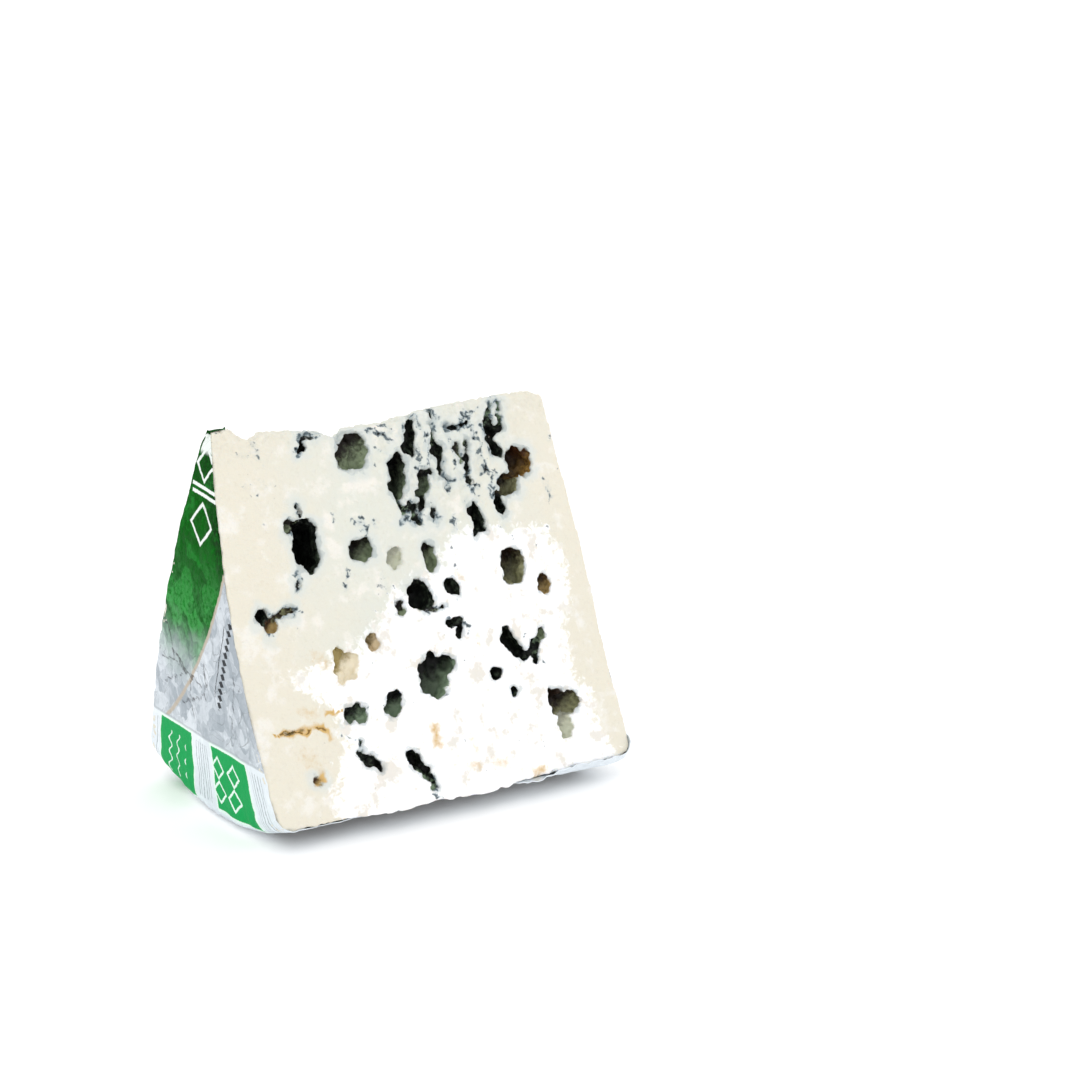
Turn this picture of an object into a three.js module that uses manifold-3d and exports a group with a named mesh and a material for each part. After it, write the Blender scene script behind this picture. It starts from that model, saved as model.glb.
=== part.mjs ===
// A wedge of blue-veined cheese: a sector cut from a foil-wrapped wheel, standing on its rim, tip up.
// Millimetres, +Z up. X runs along the wheel's axis, and the two cut faces look to -Y (front) and +Y (back).
import * as THREE from "three";
import { mergeVertices } from "three/addons/utils/BufferGeometryUtils.js";
import Module from "manifold-3d";

const wasm = await Module();
wasm.setup();

// The wheel that the wedge was cut from
const WHEEL_RADIUS = 100; // bare cheese, from the axis to the rim
const AXIS_THICKNESS = 98; // between the flat faces, at the wheel's axis
const LEFT_FACE = { lean: 2.2, bulge: 3.6 }; // how far the face stands out at the rim, and halfway to it
const RIGHT_FACE = { lean: 2.8, bulge: 1.0 };
const RIM_ROUND = 4.5; // the wheel's worn corner between face and rim
const SETTLED = 1.5; // how much the soft rim has flattened where it stands
const WHEEL_SEGMENTS = 90;
const FACE_STEPS = 5;
const ROUND_STEPS = 4;

// The foil, and the gap that keeps it clear of the cheese
const FOIL_THICK = 0.7;
const FOIL_GAP = 0.3;
const FOIL_PROUD = 0.4; // the foil's cut edges stand this far past the cut faces
const WRAP = FOIL_THICK + FOIL_GAP;
const AXIS_HEIGHT = WHEEL_RADIUS + WRAP - SETTLED;

// The two knife cuts
const HALF_ANGLE = THREE.MathUtils.degToRad(21.35);
const CUTS_MEET = AXIS_HEIGHT + 1.5; // height of the line where the two cut planes would meet
const TIP_ROUND = 0.9;
const TIP_TOP = CUTS_MEET - TIP_ROUND / Math.sin(HALF_ANGLE) + TIP_ROUND;
const CUT_STEPS_DOWN = 12;
const CUT_STEPS_ALONG = 15;
const CUT_HALF_LENGTH = 60;
const CUT_BOTTOM = -12;
const END_ROUND = 4; // the tip line's two worn ends
const PAST_ENDS = 20; // room around the wedge for the shape that rounds the ends
const END_LENGTH = 160;
const END_STEPS = 5;

// The two waves of a cut face: height, and the run of one radian in mm
const BROAD_WAVE = { high: 0.5, alongX: 13.3, alongZ: 16.7, startX: 1.1, startZ: 0.5 };
const FINE_WAVE = { high: 0.25, alongX: 5.3, alongZ: 7.7 };

// How far the crumbled tip line has broken away: [x along the tip, drop]
const TIP_BREAKS = [
  [-60, 0.5], [-49, 1.5], [-47.6, 0.9], [-43.9, 1.3], [-41.8, 3], [-39.4, 4.7], [-34.7, 3],
  [-27, 3.6], [-20, 4.4], [-16.4, 5.8], [-14.4, 7], [-12.3, 4.7], [-7.2, 4.2], [-2.8, 4.4],
  [4.5, 3.4], [13.5, 1.7], [19.5, 1.3], [25.6, 0.9], [30.2, 0.4], [34.8, 0.2], [44.2, 0.3], [49, 1.9],
];

// Hollows of the front cut face: x along the tip line, down the slope from where the cuts meet,
// then the mouth's width and height, the depth, and the lean of its long side in degrees.
const FRONT_HOLLOWS = [
  { x: -29.7, down: 33.7, wide: 8.4, tall: 12, deep: 15, lean: 4 },
  { x: -31.5, down: 28.5, wide: 2.4, tall: 3, deep: 2, lean: 0 },
  { x: -34, down: 28.5, wide: 1.8, tall: 3.4, deep: 1.6, lean: 20 },
  { x: -12, down: 11.8, wide: 8.4, tall: 10, deep: 3, lean: 10 },
  { x: -0.5, down: 19.5, wide: 5.6, tall: 11.2, deep: 8, lean: 14 },
  { x: 5.5, down: 11, wide: 2.8, tall: 9, deep: 4, lean: 12 },
  { x: 6.8, down: 22, wide: 3.2, tall: 6.6, deep: 5, lean: 10 },
  { x: 2.8, down: 28.7, wide: 1.4, tall: 6, deep: 2.5, lean: 20 },
  { x: 12.3, down: 14, wide: 4, tall: 4, deep: 4, lean: 20 },
  { x: 12.2, down: 18.3, wide: 1.6, tall: 5.6, deep: 2.5, lean: 0 },
  { x: 18.8, down: 15.6, wide: 2.2, tall: 5, deep: 2.6, lean: -6 },
  { x: 20.2, down: 23, wide: 1.2, tall: 3, deep: 1.6, lean: 0 },
  { x: 29.4, down: 10.2, wide: 3, tall: 2.8, deep: 3, lean: 0 },
  { x: 30, down: 16, wide: 2, tall: 5.2, deep: 3.5, lean: -16 },
  { x: 35.6, down: 20, wide: 7.4, tall: 7.8, deep: 6, lean: 10 },
  { x: 31.2, down: 25.6, wide: 6, tall: 5.8, deep: 4, lean: -10 },
  { x: 27.5, down: 30.3, wide: 3, tall: 6.4, deep: 5, lean: -4 },
  { x: 20.2, down: 33.1, wide: 3.4, tall: 8, deep: 6, lean: -16 },
  { x: -14.7, down: 36.6, wide: 6.2, tall: 5.8, deep: 4, lean: 0 },
  { x: -5.6, down: 40, wide: 4.4, tall: 5.8, deep: 1.9, lean: 0 },
  { x: 4.4, down: 41, wide: 3.8, tall: 7.2, deep: 4, lean: -4 },
  { x: 27.8, down: 46.6, wide: 6.6, tall: 9, deep: 5, lean: 4 },
  { x: 36, down: 52.7, wide: 4, tall: 5.4, deep: 3.5, lean: 10 },
  { x: 8.8, down: 49.5, wide: 3.4, tall: 5, deep: 5, lean: -20 },
  { x: -0.5, down: 50.3, wide: 6.6, tall: 8, deep: 9, lean: -20 },
  { x: -6.9, down: 52.5, wide: 2.4, tall: 4.4, deep: 1.8, lean: 0 },
  { x: 7, down: 58.3, wide: 5.2, tall: 2, deep: 3, lean: 0 },
  { x: 8.2, down: 61, wide: 2, tall: 3.6, deep: 3, lean: 20 },
  { x: -45.3, down: 49.2, wide: 2.8, tall: 3.6, deep: 5, lean: 20 },
  { x: -43, down: 51.6, wide: 2.2, tall: 4.6, deep: 2.5, lean: 16 },
  { x: -16.5, down: 59.6, wide: 3.6, tall: 4.2, deep: 2.4, lean: -20 },
  { x: -25.5, down: 64.4, wide: 6.8, tall: 8, deep: 2.4, lean: 0 },
  { x: -1.6, down: 71.2, wide: 7.8, tall: 11, deep: 5.5, lean: 15 },
  { x: 2.8, down: 68.4, wide: 4.6, tall: 4.8, deep: 3, lean: 30 },
  { x: 23.3, down: 67, wide: 4.4, tall: 9.6, deep: 7, lean: -30 },
  { x: 32, down: 65, wide: 2, tall: 3.6, deep: 2.5, lean: 0 },
  { x: 29, down: 68.6, wide: 2.8, tall: 5, deep: 3, lean: 20 },
  { x: 16.1, down: 73.2, wide: 3.2, tall: 3, deep: 4, lean: 0 },
  { x: 20.6, down: 78.7, wide: 2.4, tall: 2.2, deep: 3, lean: 0 },
  { x: -14.3, down: 75.8, wide: 4.4, tall: 6.6, deep: 3.5, lean: 30 },
  { x: -24.9, down: 76.5, wide: 6.2, tall: 5.2, deep: 3.5, lean: 0 },
  { x: 34.9, down: 83.8, wide: 8.6, tall: 6.6, deep: 4.5, lean: 0 },
  { x: 34.3, down: 89.6, wide: 5, tall: 7.4, deep: 2.6, lean: 10 },
  { x: 31.8, down: 81.6, wide: 2.8, tall: 4, deep: 5, lean: 0 },
  { x: -23.6, down: 88.6, wide: 4, tall: 3.2, deep: 3.5, lean: -40 },
  { x: -11.8, down: 90.5, wide: 4, tall: 4.4, deep: 4.5, lean: -20 },
  { x: -38.6, down: 90.5, wide: 3, tall: 2.2, deep: 1.8, lean: 30 },
  { x: -41.5, down: 78, wide: 12, tall: 0.7, deep: 2, lean: 2 },
];

// The back cut face isn't in view: its hollows are drawn by a rule, fewer than the front's, as large.
const BACK_COUNT = 28;
const BACK_TRIES = 4000;
const BACK_SEED = 7;
const BACK_SPAN = { left: -42, right: 42, top: 16, low: 94 };
const BACK_SIZES = [11, 9, 8, 7, 6, 5, 4.5, 4, 3.5, 3];
const BACK_PER_SIZE = 3;
const BACK_APART = 2.5;
const BACK_NARROWEST = 0.55; // a mouth's least width, as a share of its height
const BACK_DEPTH = 0.75; // as a share of the mouth's height
const BACK_THROUGH = 0.6; // the deepest that a hollow goes, as a share of the half wedge there
const BACK_LEAN = 30;

// The form of a lump: how square it is, and how much its knobs and dents stand out
const LUMP_SQUARE = 3.2;
const LUMP_KNOB = 0.16;
const LUMP_DENT = 0.1;
const KNOB_WAVE = { alongX: 4.1, alongY: 3.7, shift: 2.1 }; // over a lump of radius 1, and from lump to lump
const DENT_WAVE = { alongZ: 5.3, alongX: 4.7, shift: 1.7 };
const BACK_NUMBER = 101; // the back's hollows are numbered from here, and the number sets a lump's form

const LARGE_HOLLOW = 9.5; // from this mouth size a hollow gets the finer lump
const CHEESE_COLOUR = 0xf4ecd8;
const FOIL_COLOUR = 0xc9ccd3;

// Draws numbers from 0 to 1, the same ones at each run
function seeded(seed) {
  let state = seed;
  return () => {
    state = (state * 16807) % 2147483647;
    return state / 2147483647;
  };
}

// A closed geometry as a solid that can be joined and cut
function solidOf(geometry) {
  const bare = new THREE.BufferGeometry();
  bare.setAttribute("position", geometry.getAttribute("position").clone());
  if (geometry.index) bare.setIndex(geometry.index.clone());
  const merged = mergeVertices(bare, 1e-4);
  return new wasm.Manifold(
    new wasm.Mesh({
      numProp: 3,
      vertProperties: new Float32Array(merged.attributes.position.array),
      triVerts: new Uint32Array(merged.index.array),
    }),
  );
}

// The largest body of a solid, as a geometry: loose scraps between two hollows drop out
function geometryOf(solid) {
  const bodies = solid.decompose();
  bodies.sort((a, b) => b.volume() - a.volume());
  const mesh = bodies[0].getMesh();
  const geometry = new THREE.BufferGeometry();
  const places = new Float32Array(mesh.vertProperties);
  geometry.setAttribute("position", new THREE.BufferAttribute(places, 3));
  geometry.setIndex(new THREE.BufferAttribute(new Uint32Array(mesh.triVerts), 1));
  geometry.computeVertexNormals();
  return geometry;
}

function moveVertices(geometry, move) {
  const places = geometry.getAttribute("position");
  const point = new THREE.Vector3();
  for (let i = 0; i < places.count; i++) {
    point.fromBufferAttribute(places, i);
    move(point);
    places.setXYZ(i, point.x, point.y, point.z);
  }
  return geometry;
}

// How far a flat face of the wheel stands out, at a share of the radius
function standOut(face, share) {
  return face.lean * share + 4 * face.bulge * share * (1 - share);
}

// One side of the wheel's profile, from the axis out to the rim, as [radius, distance from the middle]
function sideProfile(face, grow) {
  const points = [];
  const flatEnd = WHEEL_RADIUS - RIM_ROUND;
  for (let i = 0; i <= FACE_STEPS; i++) {
    const radius = (flatEnd * i) / FACE_STEPS;
    points.push([radius, AXIS_THICKNESS / 2 + standOut(face, radius / WHEEL_RADIUS) + grow]);
  }
  const round = RIM_ROUND + grow;
  const centre = points[FACE_STEPS][1] - round;
  for (let i = 1; i <= ROUND_STEPS; i++) {
    const turn = (Math.PI / 2) * (1 - i / ROUND_STEPS);
    points.push([flatEnd + round * Math.cos(turn), centre + round * Math.sin(turn)]);
  }
  return points;
}

// The whole wheel, grown by some thickness, with its axis along X and cut flat at a floor height
function wheel(grow, floor) {
  const left = sideProfile(LEFT_FACE, grow).map(([r, h]) => new THREE.Vector2(r, -h));
  const right = sideProfile(RIGHT_FACE, grow).map(([r, h]) => new THREE.Vector2(r, h)).reverse();
  const turned = new THREE.LatheGeometry([...left, ...right], WHEEL_SEGMENTS);
  turned.rotateZ(-Math.PI / 2);
  turned.translate(0, 0, AXIS_HEIGHT);
  const tall = 3 * WHEEL_RADIUS;
  const above = new THREE.BoxGeometry(tall, tall, tall);
  above.translate(0, 0, floor + tall / 2);
  return solidOf(turned).intersect(solidOf(above));
}

// The crumbled tip line's height lost at x
function tipBreak(x) {
  const next = TIP_BREAKS.findIndex(([at]) => at > x);
  if (next < 1) return TIP_BREAKS[0][1];
  const [x0, y0] = TIP_BREAKS[next - 1];
  const [x1, y1] = TIP_BREAKS[next];
  return THREE.MathUtils.lerp(y0, y1, THREE.MathUtils.smoothstep(x, x0, x1));
}

// A cut through soft cheese is never quite flat
function knifeWave(x, z) {
  const broadX = Math.sin(x / BROAD_WAVE.alongX + BROAD_WAVE.startX);
  const broadZ = Math.sin(z / BROAD_WAVE.alongZ + BROAD_WAVE.startZ);
  const fine = Math.sin(x / FINE_WAVE.alongX - z / FINE_WAVE.alongZ);
  return BROAD_WAVE.high * broadX * broadZ + FINE_WAVE.high * fine;
}

// The block between the two knife cuts, grown sideways, with its rounded and crumbled tip
function betweenCuts(grow) {
  const outline = new THREE.Shape();
  const meet = CUTS_MEET + grow / Math.sin(HALF_ANGLE);
  const slope = Math.tan(HALF_ANGLE);
  const tangent = TIP_ROUND / slope; // from where the planes meet down to where the round tip starts
  const tipY = tangent * Math.sin(HALF_ANGLE);
  const tipZ = meet - tangent * Math.cos(HALF_ANGLE);
  const lowY = (meet - CUT_BOTTOM) * slope;
  for (let i = 0; i <= CUT_STEPS_DOWN; i++) {
    const share = i / CUT_STEPS_DOWN;
    const y = THREE.MathUtils.lerp(lowY, tipY, share);
    const z = THREE.MathUtils.lerp(CUT_BOTTOM, tipZ, share);
    if (i === 0) outline.moveTo(y, z);
    else outline.lineTo(y, z);
  }
  outline.lineTo(0, meet - TIP_ROUND / Math.sin(HALF_ANGLE) + TIP_ROUND);
  for (let i = CUT_STEPS_DOWN; i >= 0; i--) {
    const share = i / CUT_STEPS_DOWN;
    const y = THREE.MathUtils.lerp(lowY, tipY, share);
    outline.lineTo(-y, THREE.MathUtils.lerp(CUT_BOTTOM, tipZ, share));
  }
  const length = 2 * CUT_HALF_LENGTH;
  const drawn = { depth: length, steps: CUT_STEPS_ALONG, bevelEnabled: false };
  const block = new THREE.ExtrudeGeometry(outline, drawn);
  block.rotateX(Math.PI / 2);
  block.rotateZ(Math.PI / 2);
  block.translate(-CUT_HALF_LENGTH, 0, 0);
  moveVertices(block, (p) => {
    p.y += Math.sign(p.y) * knifeWave(p.x, p.z);
    p.z = Math.min(p.z, TIP_TOP + grow - tipBreak(p.x));
  });
  return solidOf(block);
}

// Rounds off the two ends of the tip line
function roundedEnds(grow) {
  const side = AXIS_THICKNESS / 2 + grow;
  const high = TIP_TOP + grow + END_ROUND / 2;
  const outline = new THREE.Shape();
  outline.moveTo(-side - PAST_ENDS, -PAST_ENDS);
  outline.lineTo(side + PAST_ENDS, -PAST_ENDS);
  outline.lineTo(side + PAST_ENDS, high - 3 * END_ROUND);
  outline.lineTo(side, high - END_ROUND);
  outline.absarc(side - END_ROUND, high - END_ROUND, END_ROUND, 0, Math.PI / 2, false);
  outline.absarc(-side + END_ROUND, high - END_ROUND, END_ROUND, Math.PI / 2, Math.PI, false);
  outline.lineTo(-side - PAST_ENDS, high - 3 * END_ROUND);
  const drawn = { depth: END_LENGTH, curveSegments: END_STEPS, bevelEnabled: false };
  const slab = new THREE.ExtrudeGeometry(outline, drawn);
  slab.rotateX(Math.PI / 2);
  slab.translate(0, END_LENGTH / 2, 0);
  return solidOf(slab);
}

// An uneven lump, whose place in the face it is cut from is a hollow of the cheese
function lump(hollow, number) {
  const size = Math.max(hollow.wide, hollow.tall);
  const shape = new THREE.IcosahedronGeometry(1, size >= LARGE_HOLLOW ? 2 : 1);
  moveVertices(shape, (p) => {
    const knobX = Math.sin(KNOB_WAVE.alongX * p.x + number);
    const knobY = Math.sin(KNOB_WAVE.alongY * p.y + KNOB_WAVE.shift * number);
    const dentZ = Math.sin(DENT_WAVE.alongZ * p.z + DENT_WAVE.shift * number);
    const dentX = Math.cos(DENT_WAVE.alongX * p.x - number);
    const powers = p.toArray().map((along) => Math.abs(along) ** LUMP_SQUARE);
    const reach = (powers[0] + powers[1] + powers[2]) ** (1 / LUMP_SQUARE);
    p.multiplyScalar((1 + LUMP_KNOB * knobX * knobY + LUMP_DENT * dentZ * dentX) / reach);
    p.set((p.x * hollow.wide) / 2, p.y * hollow.deep, (p.z * hollow.tall) / 2);
  });
  shape.rotateY(THREE.MathUtils.degToRad(hollow.lean));
  return shape;
}

// Puts a lump into a cut face: side -1 is the front, +1 the back
function placed(hollow, number, side) {
  const shape = lump(hollow, number);
  shape.rotateX(side * HALF_ANGLE);
  const y = side * Math.sin(HALF_ANGLE) * hollow.down;
  shape.translate(hollow.x, y, CUTS_MEET - Math.cos(HALF_ANGLE) * hollow.down);
  return solidOf(shape);
}

// Hollows for the back face: the largest first, each clear of those before it
function drawnHollows() {
  const draw = seeded(BACK_SEED);
  const hollows = [];
  for (let tries = 0; hollows.length < BACK_COUNT && tries < BACK_TRIES; tries++) {
    const size = BACK_SIZES[Math.min(BACK_SIZES.length - 1, Math.floor(hollows.length / BACK_PER_SIZE))];
    const x = THREE.MathUtils.lerp(BACK_SPAN.left, BACK_SPAN.right, draw());
    const down = THREE.MathUtils.lerp(BACK_SPAN.top, BACK_SPAN.low, draw());
    const wide = size * THREE.MathUtils.lerp(BACK_NARROWEST, 1, draw());
    const deep = Math.min(size * BACK_DEPTH, BACK_THROUGH * down * Math.tan(HALF_ANGLE));
    const hollow = { x, down, wide, tall: size, deep, lean: BACK_LEAN * (2 * draw() - 1) };
    const clear = (h) => Math.hypot(h.x - x, h.down - down) > (h.tall + size) / 2 + BACK_APART;
    if (hollows.every(clear)) hollows.push(hollow);
  }
  return hollows;
}

function cheese() {
  let body = wheel(0, WRAP).intersect(betweenCuts(0)).intersect(roundedEnds(0));
  FRONT_HOLLOWS.forEach((hollow, i) => {
    body = body.subtract(placed(hollow, i + 1, -1));
  });
  drawnHollows().forEach((hollow, i) => {
    body = body.subtract(placed(hollow, i + BACK_NUMBER, 1));
  });
  return geometryOf(body);
}

// The foil that still covers both flat faces and the rim
function foil() {
  const sheet = wheel(WRAP, 0).subtract(wheel(FOIL_GAP, FOIL_THICK));
  return geometryOf(sheet.intersect(betweenCuts(FOIL_PROUD)).intersect(roundedEnds(WRAP)));
}

function named(name, geometry, colour, roughness, metalness) {
  const material = new THREE.MeshStandardMaterial({ color: colour, roughness, metalness });
  const mesh = new THREE.Mesh(geometry, material);
  mesh.name = name;
  return mesh;
}

const wedge = new THREE.Group();
wedge.add(named("cheese", cheese(), CHEESE_COLOUR, 0.6, 0));
wedge.add(named("foil", foil(), FOIL_COLOUR, 0.35, 0.8));

// The origin is the middle of the footprint, on the floor
const extent = new THREE.Box3().setFromObject(wedge);
wedge.position.set(-(extent.min.x + extent.max.x) / 2, -(extent.min.y + extent.max.y) / 2, -extent.min.z);

export default wedge;
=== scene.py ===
import math

import bpy
import numpy as np
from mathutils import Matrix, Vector


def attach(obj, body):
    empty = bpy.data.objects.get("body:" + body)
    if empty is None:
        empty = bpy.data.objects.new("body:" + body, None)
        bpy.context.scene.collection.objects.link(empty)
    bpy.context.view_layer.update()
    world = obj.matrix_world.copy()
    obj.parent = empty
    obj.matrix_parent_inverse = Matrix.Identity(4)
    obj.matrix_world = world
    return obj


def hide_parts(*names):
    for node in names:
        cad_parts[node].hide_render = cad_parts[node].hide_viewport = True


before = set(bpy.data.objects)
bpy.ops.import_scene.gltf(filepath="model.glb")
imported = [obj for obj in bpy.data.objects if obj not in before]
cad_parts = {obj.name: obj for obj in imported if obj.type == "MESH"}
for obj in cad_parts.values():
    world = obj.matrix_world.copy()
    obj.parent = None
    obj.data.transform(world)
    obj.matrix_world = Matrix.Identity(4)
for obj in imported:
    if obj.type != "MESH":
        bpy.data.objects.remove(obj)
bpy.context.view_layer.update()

# Lists and sizes below are in millimetres from the wheel's middle plane, and MM turns them into metres
MM = 0.001
MIDDLE_X = 0.96  # the wheel's middle plane, from the middle of the footprint

# The wheel that the wedge was cut from, as the solids have it, but for its right face. That keeps
# to the photo's edge, which lies up to 2.3 mm further in, most near the tip
WHEEL_RADIUS = 100
AXIS_THICKNESS = 98  # between the solid's flat faces, at the axis
RIM_ROUND = 4.5  # the worn corner between a flat face and the rim
SETTLED = 1.5  # how much the soft rim has flattened where it stands
WRAP = 1.0  # the room that the foil takes round the solid cheese

# Each flat face: where it starts at the axis, how much further out it is at the rim, and its bulge
LEFT_FACE = {"start": 0, "lean": 2.2, "bulge": 3.6}
RIGHT_FACE = {"start": -2.3, "lean": 5.5, "bulge": 0}

# The two knife cuts, which meet a little above the axis
AXIS_HEIGHT = WHEEL_RADIUS + WRAP - SETTLED
HALF_ANGLE = math.radians(21.35)
CUTS_PAST_AXIS = 1.5
CUTS_MEET = AXIS_HEIGHT + CUTS_PAST_AXIS
TIP_ROUND = 0.9
TIP_TOP = CUTS_MEET - TIP_ROUND / math.sin(HALF_ANGLE) + TIP_ROUND
COS, SIN = math.cos(HALF_ANGLE), math.sin(HALF_ANGLE)

# How finely the wheel's section is drawn and turned
FACE_STEPS = 14
ROUND_STEPS = 6
SPIN_HALF = math.radians(60)
SPIN_STEPS = 120

# How far the crumbled tip line has broken away: x along the tip, drop
TIP_BREAKS = [
    (-60, 0.5), (-49, 1.5), (-47.6, 0.9), (-43.9, 1.3), (-41.8, 3), (-39.4, 4.7), (-34.7, 3),
    (-27, 3.6), (-20, 4.4), (-16.4, 5.8), (-14.4, 7), (-12.3, 4.7), (-7.2, 4.2), (-2.8, 4.4),
    (4.5, 3.4), (13.5, 1.7), (19.5, 1.3), (25.6, 0.9), (30.2, 0.4), (34.8, 0.2), (42.4, 0.3),
    (46.7, 1.7),
]

# The two waves of a cut face: height, and the run of one radian in mm
BROAD_WAVE = {"high": 0.5, "along_x": 13.3, "along_z": 16.7, "start_x": 1.1, "start_z": 0.5}
FINE_WAVE = {"high": 0.25, "along_x": 5.3, "along_z": 7.7}

# What lines a hollow: how mouldy it is, how light the mould is, which also sets how strongly its painted
# light and shade show, and how warm its colour
LININGS = {
    "black": (1.0, 0.12, 0.0),
    "dusk": (1.0, 0.44, 0.05),
    "grey": (1.0, 0.6, 0.1),
    "slate": (1.0, 0.66, 0.0),
    "olive": (1.0, 0.5, 0.3),
    "brown": (1.0, 0.3, 1.0),
    "pale": (0.45, 1.0, 0.25),
    "tan": (0.1, 1.0, 1.0),
    "ochre": (0.95, 0.6, 0.8),
    "amber": (0.6, 0.7, 0.95),
}

# Hollows of the front cut face: x along the tip line, down the slope from where the cuts meet,
# the mouth's width and height, the depth, the lean of its long side in degrees, and the lining
FRONT_HOLLOWS = [
    (-29.7, 33.7, 7.6, 12, 15, 4, "black"),
    (-31.5, 28.5, 2.4, 3, 2, 0, "grey"),
    (-34, 28.5, 1.8, 3.4, 1.6, 20, "grey"),
    (-12, 11.8, 8.4, 10, 3, 10, "grey"),
    (-0.5, 19.5, 5.6, 11.2, 8, 14, "dusk"),
    (5.5, 11, 2.2, 9, 4, 12, "black"),
    (6.8, 22, 3.2, 6.6, 5, 10, "dusk"),
    (2.8, 28.7, 1.4, 6, 2.5, 20, "black"),
    (12.3, 14, 4, 4, 4, 20, "black"),
    (12.2, 18.3, 1.6, 5.6, 2.5, 0, "black"),
    (18.8, 15.6, 2.2, 5, 2.6, -6, "grey"),
    (20.2, 23, 1.2, 3, 1.6, 0, "black"),
    (29.4, 10.2, 3, 2.8, 3, 0, "black"),
    (30, 16, 2, 5.2, 3.5, -16, "black"),
    (35.6, 20, 7.4, 7.8, 6, 10, "brown"),
    (31.2, 25.6, 6, 5.8, 4, -10, "olive"),
    (27.5, 30.3, 3, 6.4, 5, -4, "black"),
    (20.2, 33.1, 3.4, 8, 6, -16, "black"),
    (-14.7, 36.6, 6.2, 5.8, 4, 0, "grey"),
    (-5.6, 40, 4.4, 5.8, 1.9, 0, "pale"),
    (4.4, 41, 3.8, 7.2, 4, -4, "grey"),
    (27.8, 46.6, 6.6, 9, 5, 4, "olive"),
    (36, 52.7, 4, 5.4, 3.5, 10, "ochre"),
    (8.8, 49.5, 3.4, 5, 5, -20, "black"),
    (-0.5, 50.3, 6.6, 8, 9, -20, "black"),
    (-6.9, 52.5, 2.4, 4.4, 1.8, 0, "grey"),
    (7, 58.3, 5.2, 2, 3, 0, "black"),
    (8.2, 61, 2, 3.6, 3, 20, "black"),
    (-45.3, 49.2, 2.8, 3.6, 5, 20, "black"),
    (-43, 51.6, 2.2, 4.6, 2.5, 16, "ochre"),
    (-16.5, 59.6, 3.6, 4.2, 2.4, -20, "amber"),
    (-25.5, 64.4, 6.8, 8, 2.4, 0, "tan"),
    (-1.7, 70.8, 8.6, 10.8, 5.5, 18, "slate"),
    (2.4, 68.5, 5.2, 4.8, 4.5, 10, "slate"),
    (23.3, 67, 4.4, 9.6, 7, -30, "black"),
    (32, 65, 2, 3.6, 2.5, 0, "grey"),
    (29, 68.6, 2.8, 5, 3, 20, "black"),
    (16.1, 73.2, 3.2, 3, 4, 0, "black"),
    (20.6, 78.7, 2.4, 2.2, 3, 0, "black"),
    (-14.3, 75.8, 4.4, 6.6, 3.5, 30, "slate"),
    (-24.9, 76.5, 6.2, 5.2, 3.5, 0, "slate"),
    (34.9, 83.8, 8.6, 6.6, 4.5, 0, "olive"),
    (34.3, 89.6, 5, 7.4, 2.6, 10, "pale"),
    (31.8, 81.6, 2.8, 4, 5, 0, "black"),
    (-23.6, 88.6, 4, 3.2, 3.5, -40, "black"),
    (-11.8, 90.5, 4, 4.4, 4.5, -20, "black"),
    (-38.6, 90.5, 3, 2.2, 1.8, 30, "ochre"),
    (-41.5, 78, 12, 0.7, 2, 2, "tan"),
]

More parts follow.
